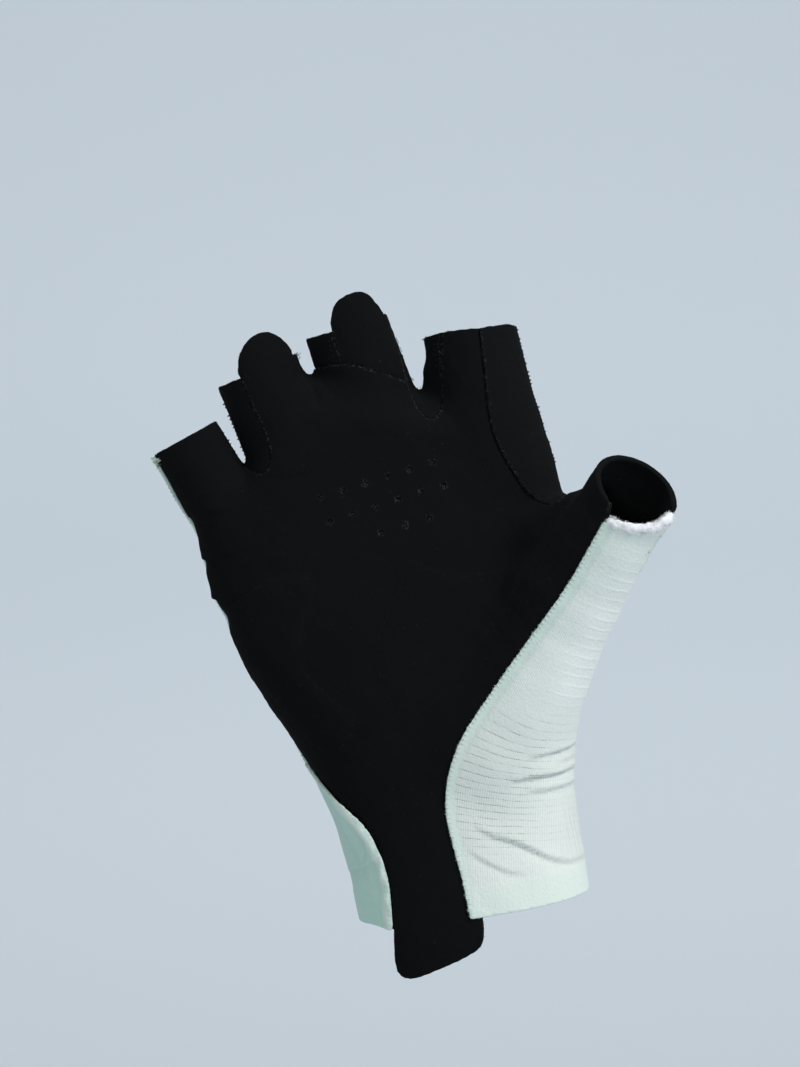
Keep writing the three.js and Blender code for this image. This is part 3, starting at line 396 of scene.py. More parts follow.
def line_distance(flat, points):
    """Distance to an open line on the drawing plane, which side of it, and the way along it."""
    best = np.full(len(flat), np.inf)
    side = np.zeros(len(flat))
    along = np.zeros(len(flat))
    count = len(points) - 1
    for i in range(count):
        a, e = points[i], points[i + 1] - points[i]
        d = flat - a
        t = np.clip(d @ e / (e @ e), 0, 1)
        away = d - t[:, None] * e
        distance = np.hypot(away[:, 0], away[:, 1])
        closer = distance < best
        best = np.where(closer, distance, best)
        side = np.where(closer, np.sign(e[0] * d[:, 1] - e[1] * d[:, 0]), side)
        along = np.where(closer, (i + t) / count, along)
    return best, side, along


# Cloth mesh on the form

FAR = 8.0  # distances are measured up to here
BEYOND = 9.0  # stands for any greater distance


class Cloth:
    """Points on the form, triangles, and named values at each point."""

    def __init__(self, points, faces, values):
        self.points = points
        self.faces = faces
        self.values = values

    def sides(self):
        """The three edges of each triangle, in its direction."""
        return self.faces[:, [0, 1, 1, 2, 2, 0]].reshape(-1, 2)

    def edges(self):
        return np.unique(np.sort(self.sides(), 1), axis=0)

    def clip(self, value):
        """The part where the value is below zero, cut along its zero line."""
        names = list(self.values)
        rows = np.column_stack([self.points] + [self.values[n] for n in names])
        inside = value[self.faces] < 0
        count = inside.sum(1)
        odd = np.where(count == 1, inside.argmax(1), (~inside).argmax(1))
        turned = self.faces[np.arange(len(odd))[:, None], (odd[:, None] + np.arange(3)) % 3]
        mixed = turned[(count == 1) | (count == 2)]
        lone = count[(count == 1) | (count == 2)] == 1
        cuts = np.concatenate([mixed[:, [0, 1]], mixed[:, [0, 2]]])
        keys, place = np.unique(np.sort(cuts, 1), axis=0, return_inverse=True)
        a, b = keys.T
        t = (value[a] / (value[a] - value[b]))[:, None]
        rows = np.concatenate([rows, rows[a] * (1 - t) + rows[b] * t])
        place = place.reshape(-1) + len(self.points)
        ab, ac = place[:len(mixed)], place[len(mixed):]
        tips = np.column_stack([mixed[:, 0], ab, ac])[lone]
        lower = np.column_stack([ab, mixed[:, 1], mixed[:, 2]])[~lone]
        upper = np.column_stack([ab, mixed[:, 2], ac])[~lone]
        faces = np.concatenate([self.faces[count == 3], tips, lower, upper])
        used, faces = np.unique(faces, return_inverse=True)
        rows = rows[used]
        values = {n: rows[:, 3 + i] for i, n in enumerate(names)}
        return Cloth(rows[:, :3], faces.reshape(-1, 3), values)

    def crossings(self, value):
        """Where the zero line of a value crosses the edges."""
        a, b = self.edges().T
        found = (value[a] < 0) != (value[b] < 0)
        a, b = a[found], b[found]
        t = (value[a] / (value[a] - value[b]))[:, None]
        return self.points[a] * (1 - t) + self.points[b] * t

    def from_line(self, value, reach=FAR):
        """Distance to the zero line of a value, with its sign, up to the reach."""
        line = self.crossings(value)
        tree = KDTree(len(line))
        for i, p in enumerate(line):
            tree.insert(p, i)
        tree.balance()
        out = np.where(value < 0, -reach, reach)
        for i in np.flatnonzero(np.abs(value) < reach * 1.5):
            out[i] = math.copysign(min(tree.find(self.points[i])[2], reach), value[i])
        return out

    def border(self):
        """Edges that only one triangle has, in their own direction."""
        sides = self.sides()
        _, first, count = np.unique(np.sort(sides, 1), axis=0, return_index=True, return_counts=True)
        return sides[first[count == 1]]

    def loops(self):
        """The border as lists of points in order."""
        after = dict(self.border().tolist())
        found = []
        while after:
            start, at = next(iter(after.items()))
            del after[start]
            loop = [start]
            while at != start and at in after:
                loop.append(at)
                at = after.pop(at)
            found.append(loop)
        return found


def sample_form(low, counts):
    """The form on a grid, worked out only in the blocks that the surface may cross."""
    block = 8
    size = block * CELL
    value = np.full(counts, BEYOND)
    starts = [np.arange(0, n, block) for n in counts]
    corners = np.stack(np.meshgrid(*starts, indexing="ij"), -1).reshape(-1, 3)
    middle = form(low + (corners + block / 2) * CELL)
    inside = corners[middle <= -size * 1.1]
    for i, j, k in inside:
        value[i:i + block, j:j + block, k:k + block] = -BEYOND
    local = np.stack(np.meshgrid(*[np.arange(block)] * 3, indexing="ij"), -1).reshape(-1, 3)
    near = corners[np.abs(middle) < size * 1.1]
    at = (near[:, None] + local).reshape(-1, 3)
    at = at[(at < counts).all(1)]
    value[tuple(at.T)] = form(low + at * CELL)
    return value


def surface_net(low, high):
    """A mesh of the form with one point per cell that it crosses."""
    low = np.array(low, float)
    counts = np.ceil((np.array(high) - low) / CELL).astype(int) + 1
    value = sample_form(low, counts)
    inside = value < 0
    cells, points, rings = [], [], []
    for axis in range(3):
        u, w = (axis + 1) % 3, (axis + 2) % 3
        change = np.diff(inside, axis=axis)
        at = np.argwhere(change)
        at = at[(at[:, u] > 0) & (at[:, w] > 0)]
        after = at + np.eye(3, dtype=int)[axis]
        a, b = value[tuple(at.T)], value[tuple(after.T)]
        cross = at.astype(float)
        cross[:, axis] += a / (a - b)
        ring = []
        for du, dw in ((1, 1), (0, 1), (0, 0), (1, 0)):
            cell = at.copy()
            cell[:, u] -= du
            cell[:, w] -= dw
            ring.append(np.ravel_multi_index(cell.T, counts))
            cells.append(ring[-1])
            points.append(cross)
        ring = np.stack(ring, 1)
        rings.append(np.where((a < 0)[:, None], ring, ring[:, ::-1]))
    names, place = np.unique(np.concatenate(cells), return_inverse=True)
    hits = np.bincount(place)
    points = np.concatenate(points)
    middle = np.stack([np.bincount(place, points[:, i]) / hits for i in range(3)], 1)
    quads = np.searchsorted(names, np.concatenate(rings))
    points = onto_form(low + middle * CELL)
    ac = np.linalg.norm(points[quads[:, 0]] - points[quads[:, 2]], axis=1)
    bd = np.linalg.norm(points[quads[:, 1]] - points[quads[:, 3]], axis=1)
    one, two = quads[ac < bd], quads[ac >= bd]
    faces = np.concatenate([one[:, [0, 1, 2]], one[:, [0, 2, 3]], two[:, [0, 1, 3]], two[:, [1, 2, 3]]])
    return Cloth(points, faces, {})


# Panel fields on the mesh: negative where the panel is

ROUND = 10.0  # turns the facing value into millimetres on a round stall
# How far round the form a panel reaches: the lowest facing value that it has
SIDE_REACH = -0.5
MIDDLE_REACH = -0.3
PALM_REACH = -0.35
TAB_REACH = 0.12
GAPS = ("little_ring", "ring_middle", "middle_index")  # between the finger stalls


def hem_plane():
    """A point and the upward normal of the slanted plane that the hem lies in."""
    left, middle, right = from_plane(HEM_LINE)
    normal = unit(np.cross(right - left, middle - left))
    return middle, normal * np.sign(normal @ THUMB_MOUTH_NORMAL)


def measure(mesh):
    """Fields of all the panels and rims at the points of the mesh."""
    flat = seen(mesh.points)
    towards = facing(mesh.points)
    x, y, z = mesh.points.T
    rough = 0.1 * ripple(mesh.points, 2.6) + 0.07 * ripple(mesh.points, 1.3)
    within = {}
    for name, (line, ends) in SEAMS.items():
        within[name] = shape(flat, np.vstack([smooth_line(line), ends])) + rough

    def side(limit):
        """Negative where the form faces the camera by more than the limit."""
        return (limit - towards) * ROUND

    region = {f"gusset_{name}": common(within[name], side(SIDE_REACH)) for name in GAPS}
    gussets = either(*region.values())
    region["index_side_panel"] = common(within["index_side"], side(SIDE_REACH), -gussets)
    region["middle_finger_front"] = common(within["middle_front"], side(MIDDLE_REACH), -gussets)
    inlaid = either(*region.values())
    beside_little = ramp(z, 88, 110) * (1 - ramp(x, -68, -65))
    between_stalls = ramp(z, 108, 114) * ramp(x, -68, -65)
    near_wrist = (1 - ramp(z, 34, 46)) * ramp(-x, 10, 30)
    palm_reach = PALM_REACH + 0.6 * beside_little - 0.12 * between_stalls + 0.2 * near_wrist
    palm_edge = side(palm_reach) + rough
    wrap_lap = 2 - ramp(x, 36, 44) * (5.1 - 3 * ramp(z, 84, 91))
    wrap = np.maximum(within["thumb_back"], towards * ROUND - wrap_lap)
    front = common(palm_edge, -within["thumb_knit"], -within["wrist_knit"])
    palm = np.minimum(front, wrap)
    region["palm_panel"] = np.maximum(palm, -inlaid)
    region["knit_upper"] = -np.minimum(palm, inlaid)

    stalls = rough - either(*[shape(flat, m) for m in MOUTHS])
    cuff = CUFF[0] + CUFF[1] * x + CUFF[2] * y - z
    cuff += CUFF_RISE * ramp(-x, 20, 26) - CUFF_DIP * ramp(-x, 5, 20)
    thumb = np.minimum((mesh.points - THUMB_MOUTH) @ THUMB_MOUTH_NORMAL, x - THUMB_MOUTH_FROM)
    tab_side = side(TAB_REACH)
    hem_middle, hem_normal = hem_plane()
    above_hem = np.minimum((mesh.points - hem_middle) @ hem_normal, x - HEM_FROM)

    def with_tab(rim, outline):
        return np.minimum(rim, np.maximum(shape(flat, smooth_line(outline)) + rough, tab_side))

    rim = {
        "stalls": stalls,
        "cuff": cuff,
        "thumb": thumb,
        "above_hem": above_hem,
        "under_hem": np.maximum(thumb, above_hem + 0.5),
        "ring_tab": with_tab(stalls, RING_TAB),
        "middle_tab": with_tab(stalls, MIDDLE_TAB),
        "wrist_tab": with_tab(cuff, WRIST_TAB),
    }
    return region, rim


# rank: a panel laps over those of a lower rank. top: how far its face stands off the form
PANELS = {
    "palm_panel": dict(rank=1, top=0.0, wall=SUEDE, rims=("wrist_tab", "ring_tab", "thumb")),
    "middle_finger_front": dict(rank=0, top=-0.1, wall=SUEDE, rims=("middle_tab",)),
    "index_side_panel": dict(rank=2, top=0.55, wall=SUEDE, rims=("stalls",)),
    **{f"gusset_{gap}": dict(rank=0, top=-0.1, wall=GUSSET, rims=("stalls",)) for gap in GAPS},
    "knit_upper": dict(rank=3, top=0.4, wall=KNIT, rims=("cuff", "stalls", "under_hem")),
}


def above(name):
    """The panels that lap over this one."""
    return [other for other in PANELS if PANELS[other]["rank"] > PANELS[name]["rank"]]


def cut_panel(mesh, name, region, rim):
    """One panel with its laps, and the distances that its look depends on."""
    own = mesh.from_line(region[name])
    upper = [region[other] for other in above(name)]
    covered = mesh.from_line(either(*upper)) if upper else np.full(len(own), FAR)
    lap = LAP * (1 - ramp(rim["above_hem"], -1.2, 0))
    keep = np.minimum(region[name], np.maximum(own - lap, covered - 0.3))
    panel = Cloth(mesh.points, mesh.faces, {"seam": own, "above": covered, **rim}).clip(keep)
    for edge in PANELS[name]["rims"]:
        panel = panel.clip(panel.values[edge])
    return panel


def folded(flat, creases):
    """Cloth that swells above each of the creases and turns in sharply at them, and a mask of painted
    shade along them, stronger where they are deeper.
    """
    height = np.zeros(len(flat))
    shade = np.zeros(len(flat))
    for points, width, depth, swell in creases:
        away, side, along = line_distance(flat, smooth_line(points))
        across = away * side
        puff = swell * ramp(across, -0.3 * width, 1.1 * width)
        puff *= np.exp(-across.clip(0) / (3.6 * width))
        reach = np.where(across > -0.2 * width, 0.6, 2.2) * width
        fade = np.sin(np.pi * along) ** 0.5
        height += (puff - depth * bell(across, -0.2 * width, reach)) * fade
        shade = np.maximum(shade, bell(across, 0, 0.55 * width) * fade * min(depth / 0.8, 1))
    return height, shade


def selvedge_side(p):
    """One where the knit has a smooth selvedge at its seams: not beyond the spine."""
    return 1 - ramp(p[:, 0] - thumb_spine(p[:, 2]), -2, 4) * ramp(p[:, 2], 50, 60)


def relief(panel, name):
    """How far the face of a panel stands off the form."""
    spec = PANELS[name]
    values, points = panel.values, panel.points
    flat, towards = seen(points), facing(points)
    seen_side = ramp(towards, -0.1, 0.25)
    upper_top = min((PANELS[other]["top"] for other in above(name)), default=0)
    sunk = spec["top"] - (upper_top - SKIVED - UNDER_CLEAR)
    top = spec["top"] - sunk * ramp(-values["above"], -0.7, 0.15)
    outline = bell(towards, 0, 0.5) * ramp(-flat[:, 0], 30, 45)
    for height, swell, width in OUTLINE_FOLDS:
        top += swell * bell(flat[:, 1], height, width) * outline
    if name == "palm_panel":
        for pad, height in PADS:
            top += height * ramp(-shape(flat, smooth_loop(pad)), -1.5, 2.5) * seen_side
        top += folded(flat, PALM_CREASES)[0] * ramp(towards, -0.4, 0)
        top += 0.12 * ripple(points, 9.0)
    if name == "index_side_panel":
        top -= 0.5 * ramp(flat[:, 0], 14, 20.5) * (1 - ramp(flat[:, 1], 104, 112))
    if name != "knit_upper":
        return top + 0.07 * ripple(points, 2.9) + 0.05 * ripple(points, 1.9)
    top += 0.18 * (1 - ramp(-values["seam"], 1.9, 2.7)) * selvedge_side(points)
    top += 0.12 * ramp(values["cuff"], -8.0, -7.0)
    curl = (0.35 + 0.5 * ripple(points, 6.0)) * bell(-values["seam"], 0.8, 0.8)
    beside_tab = ramp(-points[:, 0], 8, 16) * (1 - ramp(points[:, 2], 20, 32))
    top += curl * beside_tab * seen_side
    top += folded(flat, KNIT_CREASES)[0] * seen_side
    return top + 0.16 * ripple(points, 13.0)


def ripple(p, length):
    """Low uneven waves, from a few sines that don't line up."""
    ways = np.array([[1, 0.3, 0.5], [-0.4, 0.8, 0.9], [0.7, -0.6, 1.1], [-0.9, 0.2, 0.6]])
    waves = np.sin(p @ ways.T * (2 * math.pi / length) + np.array([0.3, 1.9, 4.1, 2.6]))
    return waves.mean(1)


def shell(panel, top, wall):
    """A closed body: the face, the inner side and a rounded rim."""
    normal = normal_at(panel.points)
    inwards = -normal_at(panel.points, 2.5)
    face = panel.points + normal * top[:, None]
    inner = face + inwards * wall[:, None]
    border = panel.border()
    rim_points = np.unique(border)
    away = np.zeros_like(face)
    way = unit(np.cross(face[border[:, 1]] - face[border[:, 0]], normal[border[:, 0]]))
    np.add.at(away, border[:, 0], way)
    np.add.at(away, border[:, 1], way)
    away = unit(away[rim_points])
    slot_of = np.zeros(len(face), int)
    slot_of[rim_points] = np.arange(len(rim_points))
    rings = []
    for depth, bulge in ((0.22, 0.16), (0.78, 0.16)):
        ring = face[rim_points] * (1 - depth) + inner[rim_points] * depth
        rings.append(ring + away * (bulge * wall[rim_points])[:, None])
    count = len(face)
    first = 2 * count + slot_of
    second = first + len(rim_points)
    points = np.concatenate([face, inner] + rings)
    faces = [panel.faces, panel.faces[:, ::-1] + count]
    start, stop = border.T
    rims = [(start, stop), (first[start], first[stop]), (second[start], second[stop]),
            (start + count, stop + count)]
    for (a, b), (c, d) in zip(rims[:-1], rims[1:]):
        faces.append(np.stack([b, a, c], 1))
        faces.append(np.stack([b, c, d], 1))
    source = np.concatenate([np.arange(count), np.arange(count), rim_points, rim_points])
    inside = np.repeat([0, 1, 0.2, 1], [count, count, len(rim_points), len(rim_points)])
    return points, np.concatenate(faces), source, inside


# Blender objects


def add_object(name, data):
    made = bpy.data.objects.new(name, data)
    bpy.context.scene.collection.objects.link(made)
    return made


def make_object(name, points, faces, material, values=None):
    """A smooth mesh object, from millimetres, with values at its points for the material."""
    mesh = bpy.data.meshes.new(name)
    mesh.vertices.add(len(points))
    mesh.vertices.foreach_set("co", (points * MM).astype(np.float32).ravel())
    size = faces.shape[1]
    mesh.loops.add(faces.size)
    mesh.loops.foreach_set("vertex_index", faces.astype(np.int32).ravel())
    mesh.polygons.add(len(faces))
    mesh.polygons.foreach_set("loop_start", np.arange(0, faces.size, size, dtype=np.int32))
    mesh.update(calc_edges=True)
    mesh.validate()
    mesh.polygons.foreach_set("use_smooth", np.ones(len(mesh.polygons), bool))
    for key, value in (values or {}).items():
        layer = mesh.attributes.new(key, "FLOAT", "POINT")
        layer.data.foreach_set("value", np.ascontiguousarray(value, np.float32))
    mesh.materials.append(material)
    return add_object(name, mesh)


def add_piece(name, points, faces, look, values=None):
    """A visible piece of the body, with the material of a look."""
    slot, material = LOOKS[look]
    piece = make_object(name, points, faces, material, values)
    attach(piece, "root")
    return piece


# Materials


def srgb(r, g, b):
    """A linear colour from sRGB values of 0 to 255."""
    c = np.array([r, g, b]) / 255
    return (*np.where(c <= 0.04045, c / 12.92, ((c + 0.055) / 1.055) ** 2.4), 1.0)


class Look:
    """A material, with short calls for its nodes."""

    def __init__(self, name, roughness, specular, sheen=0.0):
        self.material = bpy.data.materials.new(name)
        self.material.use_nodes = True
        self.tree = self.material.node_tree
        self.shader = self.tree.nodes["Principled BSDF"]
        surface = ("Roughness", "Sheen Weight", "Sheen Roughness", "Specular IOR Level")
        self.feed(self.shader, surface, (roughness, sheen, 0.6, specular))

    def feed(self, node, sockets, values):
        """Links or sets inputs of a node."""
        for socket, value in zip(sockets, values):
            if isinstance(value, bpy.types.NodeSocket):
                self.tree.links.new(value, node.inputs[socket])
            else:
                node.inputs[socket].default_value = value

    def node(self, kind, sockets=(), values=()):
        """A new node, with some of its inputs."""
        node = self.tree.nodes.new(kind)
        self.feed(node, sockets, values)
        return node

    def value(self, name):
        """A value at the points of the mesh."""
        node = self.node("ShaderNodeAttribute")
        node.attribute_name = name
        return node.outputs["Fac"]

    def math(self, operation, a, b=0.0, c=0.0):
        node = self.node("ShaderNodeMath", range(3), (a, b, c))
        node.operation = operation
        return node.outputs[0]

    def times(self, a, b):
        return self.math("MULTIPLY", a, b)

    def line(self, x, slope, start):
        return self.math("MULTIPLY_ADD", x, slope, start)

    def step(self, x, low, high):
        """0 below low, 1 above high, and smooth between."""
        sockets = ("Value", "From Min", "From Max")
        node = self.node("ShaderNodeMapRange", sockets, (x, low, high))
        node.interpolation_type = "SMOOTHSTEP"
        return node.outputs[0]

    def wave(self, x, period, shift=0.0):
        """0 to 1 and back over each period."""
        turned = self.line(x, 2 * math.pi / period, shift)
        return self.line(self.math("COSINE", turned), 0.5, 0.5)

    def place(self):
        """Where a point is, in metres from the object's origin."""
        return self.node("ShaderNodeTexCoord").outputs["Object"]

    def noise(self, per_mm, detail=2.0):
        sockets = ("Vector", "Scale", "Detail")
        values = (self.place(), per_mm / MM, detail)
        return self.node("ShaderNodeTexNoise", sockets, values).outputs["Fac"]

    def mix(self, factor, a, b):
        node = self.node("ShaderNodeMix")
        node.data_type = "RGBA"
        self.feed(node, (0, 6, 7), (factor, a, b))
        return node.outputs[2]

    def tint(self, colour, tone, value, share):
        """The colour, turned towards a tone by a share of a value."""
        return self.mix(self.times(value, share), colour, srgb(*tone))

    def finish(self, colour, height=None, depth=0.0):
        """Sets the colour, and a bump of a height in shares of a depth in millimetres."""
        self.feed(self.shader, ["Base Color"], [colour])
        if height is not None:
            sockets = ("Strength", "Distance", "Height")
            bump = self.node("ShaderNodeBump", sockets, (1.0, depth * MM, height))
            self.feed(self.shader, ["Normal"], [bump.outputs[0]])
        return self.material


def knit_look():
    """Mesh knit: courses that open as dark dots or stand up as ribs, over fine wales."""
    look = Look("mint_mesh_knit", 0.95, sheen=0.12, specular=0.15)
    value, times, line, noise, tint = look.value, look.times, look.line, look.noise, look.tint
    mesh_zone = times(value("mesh_zone"), look.math("SUBTRACT", 1.0, value("inside")))
    open_mesh, ribbed = value("open_mesh"), value("ribbed")

    def across(period, shift=0.0):
        """Waves across the wales, of the front or of the side."""
        front = look.wave(value("wale_front"), period, shift)
        side = look.wave(value("wale_side"), period, shift)
        return line(value("side_on"), look.math("SUBTRACT", side, front), front)

    ribs = across(WALE, times(noise(0.3), 3.0))
    rows = look.wave(value("course"), COURSE, times(noise(0.1, 1.0), 3.0))
    uneven = line(look.step(noise(0.4), 0.36, 0.62), 0.7, 0.3)
    dots = times(look.math("POWER", rows, 26.0), line(ribs, -0.9, 1.0))
    dots = times(times(dots, times(open_mesh, mesh_zone)), uneven)
    ridges = times(look.math("POWER", rows, 6.0), times(ribbed, mesh_zone))
    grain = noise(1.3)
    # Painted shade: the wales are darker in the valleys between the ribs, with an uneven grain.
    mesh = look.mix(line(ribs, 0.5, times(grain, 0.5)), srgb(210, 219, 215), srgb(229, 236, 232))
    mesh = tint(mesh, (200, 210, 205), open_mesh, 0.3)
    mesh = tint(mesh, (236, 242, 239), ribbed, 0.5)
    mesh = tint(mesh, (244, 247, 244), ridges, 0.3)
    plain = look.mix(noise(0.05), srgb(214, 227, 220), srgb(222, 234, 227))
    faint_ribs = times(look.math("POWER", across(5.3 * WALE), 8.0), noise(0.3))
    plain = tint(plain, (200, 216, 208), faint_ribs, 0.2)
    smooth = look.mix(value("selvedge"), plain, srgb(213, 227, 221))
    cloth = look.mix(mesh_zone, smooth, mesh)
    cloth = tint(cloth, (112, 122, 116), dots, 0.62)
    # Painted shade: the knit is painted warm grey in its creases.
    cloth = tint(cloth, (148, 148, 132), value("crease_shade"), 0.3)
    # Painted shade along the inner edge of the raised selvedge.
    cloth = tint(cloth, (165, 185, 177), value("groove_shade"), 0.28)
    # Deeper, darker mint: partly the knit's own colour, partly painted shade on the side turned from the
    # light.
    deep = look.mix(0.45, srgb(148, 208, 190), cloth)
    cloth = look.mix(value("mint"), cloth, deep)
    height = line(grain, 0.9, times(ribs, line(mesh_zone, 0.2, 0.05)))
    height = line(ridges, 0.4, height)
    height = line(times(value("gather"), across(1.7)), 1.3, height)
    height = look.math("SUBTRACT", height, times(dots, 0.8))
    return look.finish(cloth, height, 0.16)


def suede_look(name, tone, nap):
    """Black cloth with a short nap, and pale lint along seams and round the air holes."""
    look = Look(name, 1.0, specular=0.06)
    times, noise, step = look.times, look.noise, look.step
    uneven = look.line(noise(0.035, 3.0), 0.7, times(noise(0.4, 4.0), 0.3))
    cloth = look.mix(uneven, srgb(*tone), srgb(*[level + 5 for level in tone]))
    seam = look.math("SUBTRACT", 1.0, step(look.value("lint"), 0.1, 0.8))
    loose = times(step(noise(1.9, 1.0), 0.72, 0.78), step(noise(0.12), 0.5, 0.6))
    specks = look.math("MAXIMUM", times(step(noise(1.7), 0.52, 0.66), seam), times(loose, 0.5))
    cloth = look.tint(cloth, (72, 78, 76), specks, 0.42)
    height = look.math("ADD", noise(2.2, 3.0), times(noise(0.35), 0.8))
    return look.finish(cloth, height, nap)


def plain_look(name, colour, lighter, sheen=0.2):
    """Thread or pile, a little uneven in colour."""
    look = Look(name, 0.95, sheen=sheen, specular=0.2)
    cloth = look.mix(look.noise(0.8), srgb(*colour), srgb(*lighter))
    return look.finish(cloth, look.noise(3.0), 0.05)


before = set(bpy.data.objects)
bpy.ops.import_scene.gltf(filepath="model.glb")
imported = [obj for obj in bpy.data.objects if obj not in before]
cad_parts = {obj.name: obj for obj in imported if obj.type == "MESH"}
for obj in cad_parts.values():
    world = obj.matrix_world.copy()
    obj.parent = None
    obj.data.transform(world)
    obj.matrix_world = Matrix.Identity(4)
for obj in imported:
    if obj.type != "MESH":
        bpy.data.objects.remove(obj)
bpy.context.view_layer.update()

LOOKS = {
    "palm_panel": ("palm_suede", suede_look("palm_microsuede", (12, 14, 15), 0.08)),
    "index_side_panel": ("side_suede", suede_look("side_microsuede", (14, 16, 17), 0.1)),
    "gusset": ("gusset_cloth", suede_look("gusset_stretch_cloth", (12, 14, 15), 0.06)),
    "knit_upper": ("mint_knit", knit_look()),
    "thread": ("palm_suede", plain_look("black_thread", (13, 15, 16), (27, 30, 30), sheen=0.0)),
    "mint_thread": ("mint_knit", plain_look("mint_thread", (200, 224, 215), (218, 234, 227))),
    "pile": ("hem_pile", plain_look("white_pile", (220, 223, 229), (246, 248, 251))),
}
LOOKS["middle_finger_front"] = LOOKS["palm_panel"]
for gap in GAPS:
    LOOKS[f"gusset_{gap}"] = LOOKS["gusset"]


# Air holes


def hole_places():
    flat = [(x + i * step, z + i * rise) for x, z, step, rise, count in HOLE_ROWS for i in range(count)]
    return from_plane(flat)


def from_holes(p, holes):
    """Distance to the nearest air hole's axis."""
    return np.min([np.linalg.norm((p - hole)[:, [0, 2]], axis=1) for hole in holes], 0)


# Knit values

thumb_spine = column(SPINE, 1)


def knit_values(panel):
    """Values that the knit's material reads, at the points of the panel."""
    points, (x, y, z) = panel.points, panel.points.T
    inside_seam, inside_cuff, inside_stalls = (-panel.values[n] for n in ("seam", "cuff", "stalls"))
    across = x - thumb_spine(z)
    dip = DIP[0] * ramp(z, 4, 50) * bell(across, 0, DIP[1])
    sideways, forwards, _ = np.abs(normal_at(points, 1.5)).T
    has_selvedge = selvedge_side(points)
    selvedge = (1 - ramp(inside_seam, 1.9, 2.5)) * has_selvedge
    cuff = 1 - ramp(inside_cuff, 5.0, 9.0)
    stall_rims = 1 - ramp(inside_stalls, 1.4, 2.0)
    plain_back = 0.7 * ramp(z, 80, 90) * (y < 0)
    back = ramp(y, -4, 8)
    thumb_side = ramp(x, -12 - 45 * back, -4 + 25 * back)
    open_mesh = ramp(z, 13, 19) * (1 - ramp(z, 42, 56)) * (1 - 0.7 * ramp(across, -6, 6))
    ribbed = ramp(z, 42, 56) * (0.15 + 0.85 * ramp(across, -12, -3))
    # The deeper mint beside the wrist is partly the knit's own colour and partly painted shade on the
    # side turned from the light; along its selvedge it is paler in uneven lumps, painted light where the
    # selvedge faces the light.
    lumpy = 0.7 + 0.5 * ripple(points, 4.5)
    beside_wrist = (1 - thumb_side) * (1 - selvedge * lumpy)
    beside_thumb = 0.28 * np.exp(-inside_seam / 3.5) * ramp(z, 36, 60)
    beside_thumb *= thumb_side * (1 - ramp(across, -6, 2))
    return {
        "course": z + dip + 0.05 * y,
        "wale_front": across,
        "wale_side": y,
        "side_on": ramp(sideways - forwards, -0.1, 0.1),
        "selvedge": selvedge,
        # Painted shade along the inner edge of the selvedge, above the cuff.
        "groove_shade": bell(inside_seam, 2.3, 0.5) * (1 - cuff) * has_selvedge,
        "mesh_zone": 1 - common(selvedge, cuff, stall_rims, plain_back),
        "open_mesh": np.where(y < 0, open_mesh * thumb_side, 0.45),
        "ribbed": np.where(y < 2, ribbed, 0.4),
        "gather": ramp(x, 18, 22) * ramp(z, 11, 15) * (1 - ramp(z, 24, 29)),
        # Share of the deeper mint: the knit's own colour and painted shade.
        "mint": common(beside_wrist, beside_thumb, 0.45 * back),
        # Where the creases get painted shade, on the near side only.
        "crease_shade": folded(seen(points), KNIT_CREASES)[1] * (facing(points) > 0),
    }


def palm_lint(points, holes):
    """Distance to the pale lint round the air holes and along the pads, on the near side."""
    flat = seen(points)
    pads = np.min([np.abs(shape(flat, smooth_loop(pad))) for pad, _ in PADS], 0)
    marks = np.minimum(from_holes(points, holes) - HOLE_RADIUS + 0.15, pads + 0.44)
    return np.where(facing(points) > 0, marks, BEYOND)


def build_panels(mesh, region, rim):
    """Makes each panel as a piece and returns the cut cloth of each."""
    holes = hole_places()
    cloths = {}
    for name, spec in PANELS.items():
        panel = cut_panel(mesh, name, region, rim)
        if name == "palm_panel":
            away = np.where(facing(panel.points) > 0, from_holes(panel.points, holes), BEYOND)
            panel = panel.clip(HOLE_RADIUS - away)
        near_seam = np.minimum(np.abs(panel.values["seam"]), np.abs(panel.values["above"]))
        wall = spec["wall"] - (spec["wall"] - SKIVED) * (1 - ramp(near_seam, 0.4, 2.4))
        top = relief(panel, name)
        points, faces, source, inside = shell(panel, top, wall)
        shown = {"lint": near_seam}
        if name == "palm_panel":
            shown["lint"] = np.minimum(near_seam, palm_lint(panel.points, holes))
        if name == "knit_upper":
            shown = knit_values(panel)
        shown = {key: value[source] for key, value in shown.items()}
        shown["inside"] = inside
        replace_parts(add_piece(f"{name}_cloth", points, faces, name, shown), name)
        cloths[name] = (panel, top)
    return cloths


mesh = surface_net(*FORM_BOX)
region, rim = measure(mesh)
cloths = build_panels(mesh, region, rim)


# Threads

SHORTEST_EDGE = 12  # points in the shortest border that has stitches and fuzz
RIM_GAP = 0.8  # no stitches nearer to an open rim
FUZZ_RADIUS = 0.05
NUB_RADIUS = 0.24
NUB_PITCH = 1.05
NUB_HEIGHT = 120
PILE_RADIUS = 0.035
FRAY_RADIUS = 0.06
# Outlines with the ends of seam loops: panel, lowest height, the gap's middle at NUB_HEIGHT and its
# lean, and the side of the gap
NUBBED = [
    ("index_side_panel", 110, 0.0, 0.0, 1),
    ("gusset_little_ring", 111, -61.0, -0.375, -1),
    ("gusset_little_ring", 111, -61.0, -0.375, 1),
]


def pipe(path, side, up, radius, sides):
    """Points, quads and outward directions of a round tube, open at its ends."""
    angle = np.arange(sides) * 2 * math.pi / sides
    out = side[:, None] * np.cos(angle)[None, :, None] + up[:, None] * np.sin(angle)[None, :, None]
    points = path[:, None] + out * radius[:, None, None]
    i, k = np.meshgrid(np.arange(len(path) - 1), np.arange(sides), indexing="ij")
    a, b = i * sides + k, i * sides + (k + 1) % sides
    quads = np.stack([a, b, b + sides, a + sides], -1).reshape(-1, 4)
    return points.reshape(-1, 3), quads, out.reshape(-1, 3)


